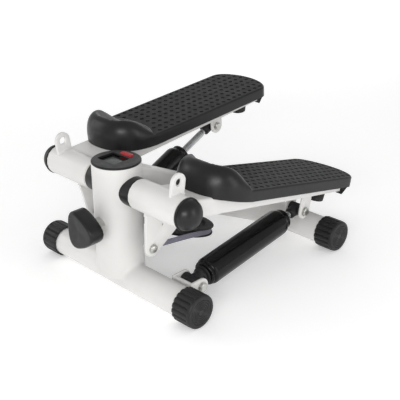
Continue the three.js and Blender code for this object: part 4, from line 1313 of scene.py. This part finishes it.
def build_lower_clevis(side, lower):
    """Two ears welded to the front tube, with the damper's bottom pin through them."""
    inner, outer, radius = 17.3 * MM, 21.3 * MM, 13.5 * MM
    outline = [(-24 * MM, -radius)] + arc(0, 0, radius, -90, 90, 32) + [(-24 * MM, radius)]
    half, height = inner + 1 * MM, radius - 1 * MM
    tube_at = FRONT_TUBE - lower
    tube_at.x = 0
    ears = []
    for sign in (1, -1):
        ear = moved(plate(outline, outer - inner, [circle(0, 0, 5.3 * MM)], edge=0.7 * MM), UPRIGHT)
        ear = cut(ear, tube_cutter(tube_at))
        ears.append(moved(ear, Matrix.Translation((sign * (inner + outer) / 2, 0, 0))))
    web = rounded_box((-half, -22 * MM, -height), (half, -18 * MM, height), 0.4 * MM)
    clevis = moved(merge(*ears, cut(web, tube_cutter(tube_at))), Matrix.Translation(lower))
    add(f"{side}_bottom_clevis", clevis, "frame", PAINT, [f"{side}_lower_clevis"])
    pin = moved(hex_bolt(5 * MM, 14 * MM, 4.6 * MM, 8.6 * MM, outer), place(lower, (SIDES[side], 0, 0)))
    add(f"{side}_bottom_pin", pin, "frame", ZINC, [f"{side}_lower_pin"])


# ---- console -------------------------------------------------------------------------------

CONSOLE_WINDOW = Vector((-5.5 * MM, -1 * MM))  # middle of the display, from the column's axis
CONSOLE_BUTTON = Vector((-3 * MM, 24 * MM))


def window_outline(width, height, corner):
    return [p + CONSOLE_WINDOW for p in section(width, height, corner)]


def window_box(half_x, half_y, low, high, edge):
    """Box about the display's middle."""
    x, y = CONSOLE_WINDOW
    return rounded_box((x - half_x, y - half_y, low), (x + half_x, y + half_y, high), edge)


def button_outline(length, width):
    """Outline with round ends about the button's middle."""
    x, y = CONSOLE_BUTTON
    r = width / 2
    reach = length / 2 - r
    return arc(x + reach, y, r, -90, 90, 20) + arc(x - reach, y, r, 90, 270, 20)


def build_console():
    """Bezel with the display sunk into it, and the button."""
    low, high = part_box("console_housing")
    top, under = high.z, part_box("column_tube")[1].z
    inner = COLUMN_R - COLUMN_WALL
    profile = [(0, under), (COLUMN_R, under), (COLUMN_R, top - 0.9 * MM)]
    profile += [(COLUMN_R - 1.1 * MM, top - 0.05 * MM), (COLUMN_R - 2.2 * MM, top), (0, top - 0.0001 * MM)]
    spigot = lathe(pipe(inner - 0.3 * MM, inner - 1.7 * MM, low.z, under + 1 * MM), 96)
    well = lifted(plate(window_outline(38 * MM, 31 * MM, 1.6 * MM), 30 * MM, edge=0.1 * MM), top)
    rim = plate(window_outline(39.6 * MM, 32.6 * MM, 2.2 * MM), 2 * MM, edge=0.1 * MM)
    slot = lifted(plate(button_outline(26.3 * MM, 11.3 * MM), 30 * MM, edge=0.1 * MM), top)
    housing = cut(join(lathe(profile, 144, 0.5 * MM), spigot), well, lifted(rim, top + 0.5 * MM), slot)
    at = Matrix.Translation((COLUMN.x, COLUMN.y, 0))
    add("console_bezel_ring", moved(housing, at), "frame", BEZEL, ["console_housing"])

    floor = under - 1 * MM
    tray = window_box(20.5 * MM, 17 * MM, under - 15 * MM, floor - 1 * MM, 0.8 * MM)
    plinth = window_box(18.5 * MM, 15 * MM, floor - 2 * MM, floor, 0.4 * MM)
    opening = window_box(14.5 * MM, 11 * MM, floor - 0.9 * MM, floor + 1 * MM, 0.3 * MM)
    add("display_frame", moved(cut(join(tray, plinth), opening), at), "frame", BEZEL, ["console_display"])
    glass = window_box(14.2 * MM, 10.7 * MM, floor - 0.9 * MM, floor - 0.3 * MM, 0.2 * MM)
    add("display_glass", moved(glass, at), "frame", SCREEN)

    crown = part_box("console_button")[1].z
    rings = []
    levels = [(0, under - 2 * MM), (0, crown - 1.3 * MM), (0.35 * MM, crown - 0.7 * MM)]
    levels += [(1.0 * MM, crown - 0.3 * MM), (2.4 * MM, crown - 0.08 * MM), (3.8 * MM, crown)]
    for inset, z in levels:
        outline = button_outline(25.5 * MM - 2 * inset, 10.5 * MM - 2 * inset)
        rings.append([(x, y, z) for x, y in outline])
    flange = plate(button_outline(27.5 * MM, 12.5 * MM), 3.4 * MM, edge=0.3 * MM)
    cap = join(loft(rings), lifted(flange, under - 2.3 * MM))
    add("start_button", moved(cap, at), "button", RED, ["console_button"])


# ---- step knob -----------------------------------------------------------------------------

SPINDLE_HOLE_R = 6.3 * MM


def build_knob():
    """Three-lobed knob with its spindle, and the boss on the column that the spindle runs in."""
    low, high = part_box("step_knob")
    at = Vector((COLUMN.x, high.y, middle("knob_spindle").z))
    depth = high.y - low.y
    ease, dish = 4.2 * MM, 1.0 * MM

    def outline(shrink):
        points = []
        for k in range(144):
            turn = 2 * math.pi * k / 144
            r = (29 + 3.6 * math.cos(3 * turn) + 0.5 * math.cos(6 * turn)) * MM - shrink
            points.append((r * math.cos(turn), r * math.sin(turn)))
        return points

    rings = []
    steps = [(12.5 * MM, 0), (1.6 * MM, 0), (0.5 * MM, 0.5 * MM), (0.0, 1.6 * MM)]
    steps += [(0.0, depth * f) for f in (0.3, 0.6)]
    for k in range(9):
        a = math.pi / 2 * k / 8
        steps.append((ease * (1 - math.cos(a)), depth - ease * (1 - math.sin(a))))
    steps += [(8 * MM, depth - 0.15 * MM), (14 * MM, depth - 0.5 * dish)]
    steps += [(20 * MM, depth - 0.8 * dish), (24.6 * MM, depth - dish)]
    for shrink, height in steps:
        rings.append([(x, y, height) for x, y in outline(shrink)])
    # local Z points forwards, out of the column, and local Y up
    facing = Matrix.Translation(at) @ Matrix(((1, 0, 0), (0, 0, -1), (0, 1, 0))).to_4x4()
    socket = drum(SPINDLE_HOLE_R, -1 * MM, 14 * MM, at, FORWARDS, 48)
    add("knob", cut(moved(loft(rings), facing), socket), "knob", SATIN, ["step_knob"], sharp=50)

    low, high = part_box("spindle_nut")
    radius, length = (high.z - low.z) / 2, high.y - low.y
    profile = [(radius, -2 * MM), (radius, length - 1.5 * MM), (radius - 1.5 * MM, length)]
    profile += [(SPINDLE_HOLE_R, length), (SPINDLE_HOLE_R, -2 * MM)]
    boss = moved(lathe(profile, 72, 0.5 * MM), place((at.x, high.y, at.z), FORWARDS))
    add("spindle_boss", cut(boss, column_cutter()), "frame", ZINC, ["spindle_nut"])
    low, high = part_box("knob_spindle")
    shaft = lathe(rod(6 * MM, 0, high.y - low.y), 48, 0.6 * MM)
    add("spindle", moved(shaft, place((at.x, high.y, at.z), FORWARDS)), "knob", ZINC, ["knob_spindle"])


# ---- pulley and strap ----------------------------------------------------------------------

PULLEY_R = 61 * MM
GROOVE_R = 56 * MM
STRAP_WIDTH = 9 * MM
STRAP_THICK = 2.2 * MM
STRAP_R = 57.4 * MM  # the strap's middle line on the pulley
STRAP_END_X = 76.3 * MM  # of the strap's middle line at the gussets


def build_pulley():
    """Grooved wheel with six holes, and the bolt that it turns on."""
    rim, web, hub = 6.5 * MM, 3 * MM, 7 * MM  # half of each thickness
    above = [(GROOVE_R, 4.8 * MM), (PULLEY_R, 5.4 * MM), (PULLEY_R, rim), (47.5 * MM, rim)]
    above += [(46 * MM, web), (15 * MM, web), (14 * MM, hub), (6.3 * MM, hub)]
    below = [(radius, -z) for radius, z in reversed(above)]
    wheel = lathe(below + above, 144, 0.8 * MM)
    spots = circle(0, 0, 31 * MM, 6)
    holes = [drum(8.5 * MM, -0.01, 0.01, (x, y, 0), UP, 48) for x, y in spots]
    at = place(PULLEY, PULLEY_AXIS)
    add("strap_wheel", moved(cut(wheel, *holes), at), "pulley", PLASTIC, ["drive_pulley"])
    shank = drum(6 * MM, -8 * MM, 12 * MM, direction=UP, segments=48)
    head = lifted(moved(hex_head(15 * MM, 4.4 * MM), UPSIDE_DOWN), -7.6 * MM)
    nut = lifted(hex_head(15 * MM, 5.2 * MM), 11.6 * MM)
    add("wheel_bolt", moved(merge(shank, head, nut), at), "pulley", ZINC, ["pulley_axle"])


def strap_plane():
    """Matrix from the pulley's plane, with its local Y to the rear, to the machine's frame."""
    z = PULLEY_AXIS.normalized()
    x = Vector((1, 0, 0))
    return Matrix.Translation(PULLEY) @ Matrix((x, z.cross(x), z)).transposed().to_4x4()


def ribbon(name, route, body, nodes=()):
    """Flat strap along route points in the pulley's plane, with the strap's length in its UVs."""
    half_w, half_t = STRAP_WIDTH / 2, STRAP_THICK / 2
    corners = [(-half_t, -half_w), (half_t, -half_w), (half_t, half_w), (-half_t, half_w)]
    outline = rounded(corners, 0.8 * MM, True, 3)
    rings, lengths, gone = [], [], 0.0
    for i, spot in enumerate(route):
        ahead, behind = route[min(i + 1, len(route) - 1)], route[max(i - 1, 0)]
        along = Vector((ahead.x - behind.x, ahead.y - behind.y, 0)).normalized()
        out = Vector((along.y, -along.x, 0))
        gone += (spot - behind).length if i else 0
        lengths.append(gone)
        rings.append([spot + out * p.x + Vector((0, 0, p.y)) for p in outline])
    mesh = loft(rings)
    layer = mesh.uv_layers.new(name="along")
    for polygon in mesh.polygons:
        for loop in polygon.loop_indices:
            spot = mesh.vertices[mesh.loops[loop].vertex_index].co
            near = min(range(len(route)), key=lambda i: (route[i].xy - spot.xy).length)
            layer.data[loop].uv = (lengths[near], spot.z)
    mesh.transform(strap_plane())
    return add(name, mesh, body, WEBBING, nodes)


def build_strap():
    """Wrap round the pulley, and a run from it to each gusset's bolt."""
    plane = strap_plane()
    flat = plane.inverted()
    straight = 24 * MM  # what each run goes straight on for, until it is clear of the rim
    touches = {}
    for side, sign in SIDES.items():
        bolt = flat @ on_pedal(side, BRACKET_X, BOLT_Y, BOLT_Z)
        end = Vector((sign * STRAP_END_X, bolt.y, bolt.z))
        mirrored = math.atan2(end.y, STRAP_END_X) + math.acos(STRAP_R / math.hypot(STRAP_END_X, end.y))
        touch = mirrored if sign > 0 else math.pi - mirrored
        touches[side] = touch
        tangent = Vector((STRAP_R * math.cos(touch), STRAP_R * math.sin(touch), 0))
        run = end - tangent
        level = Vector((run.x, run.y, 0)).normalized()
        clear = tangent + level * straight
        tail = end + run.normalized() * 7 * MM
        route = [tangent - level * 0.5 * MM]
        route += [tangent + (clear - tangent) * k / 8 for k in range(1, 9)]
        for k in range(1, 21):
            t = k / 20
            spot = clear + (tail - clear) * t
            spot.z = clear.z + (tail.z - clear.z) * smooth_step(t)
            route.append(spot)
        piece = ribbon(f"{side}_strap_run", route, None)
        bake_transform(piece)
    start, stop = touches["right"], touches["left"]
    wrap = []
    for k in range(65):
        a = start + (stop - start) * k / 64
        wrap.append(Vector((STRAP_R * math.cos(a), STRAP_R * math.sin(a), 0)))
    ribbon("strap_wrap", wrap, "frame", ["drive_strap"])


# ---- CAD pieces that stay ------------------------------------------------------------------

def dress_frame():
    """Every CAD node still shown gets its finish, soft edges and clean shading."""
    finishes = {"pulley_hanger": PAINT, "pivot_shaft": ZINC}
    for name, node in frame["nodes"].items():
        if node.hide_render:
            continue
        material = finishes.get(name)
        if material is None:
            material = NYLON if "bush" in name else ZINC if "retainer" in name else PAINT
        node.data.materials.clear()
        node.data.materials.append(material)
        close = node.modifiers.new("weld", "WELD")
        close.merge_threshold = 0.01 * MM
        bevel = node.modifiers.new("bevel", "BEVEL")
        bevel.width = 0.4 * MM
        bevel.segments = 2
        bevel.limit_method = "ANGLE"
        bevel.angle_limit = math.radians(40)


# ---- assembly ------------------------------------------------------------------------------

build_studio()
build_base()
build_column()
build_beam()
build_shaft()
build_console()
build_knob()
build_pulley()
build_strap()
for side, sign in SIDES.items():
    build_pedal(side, sign)
    build_damper(side)
dress_frame()
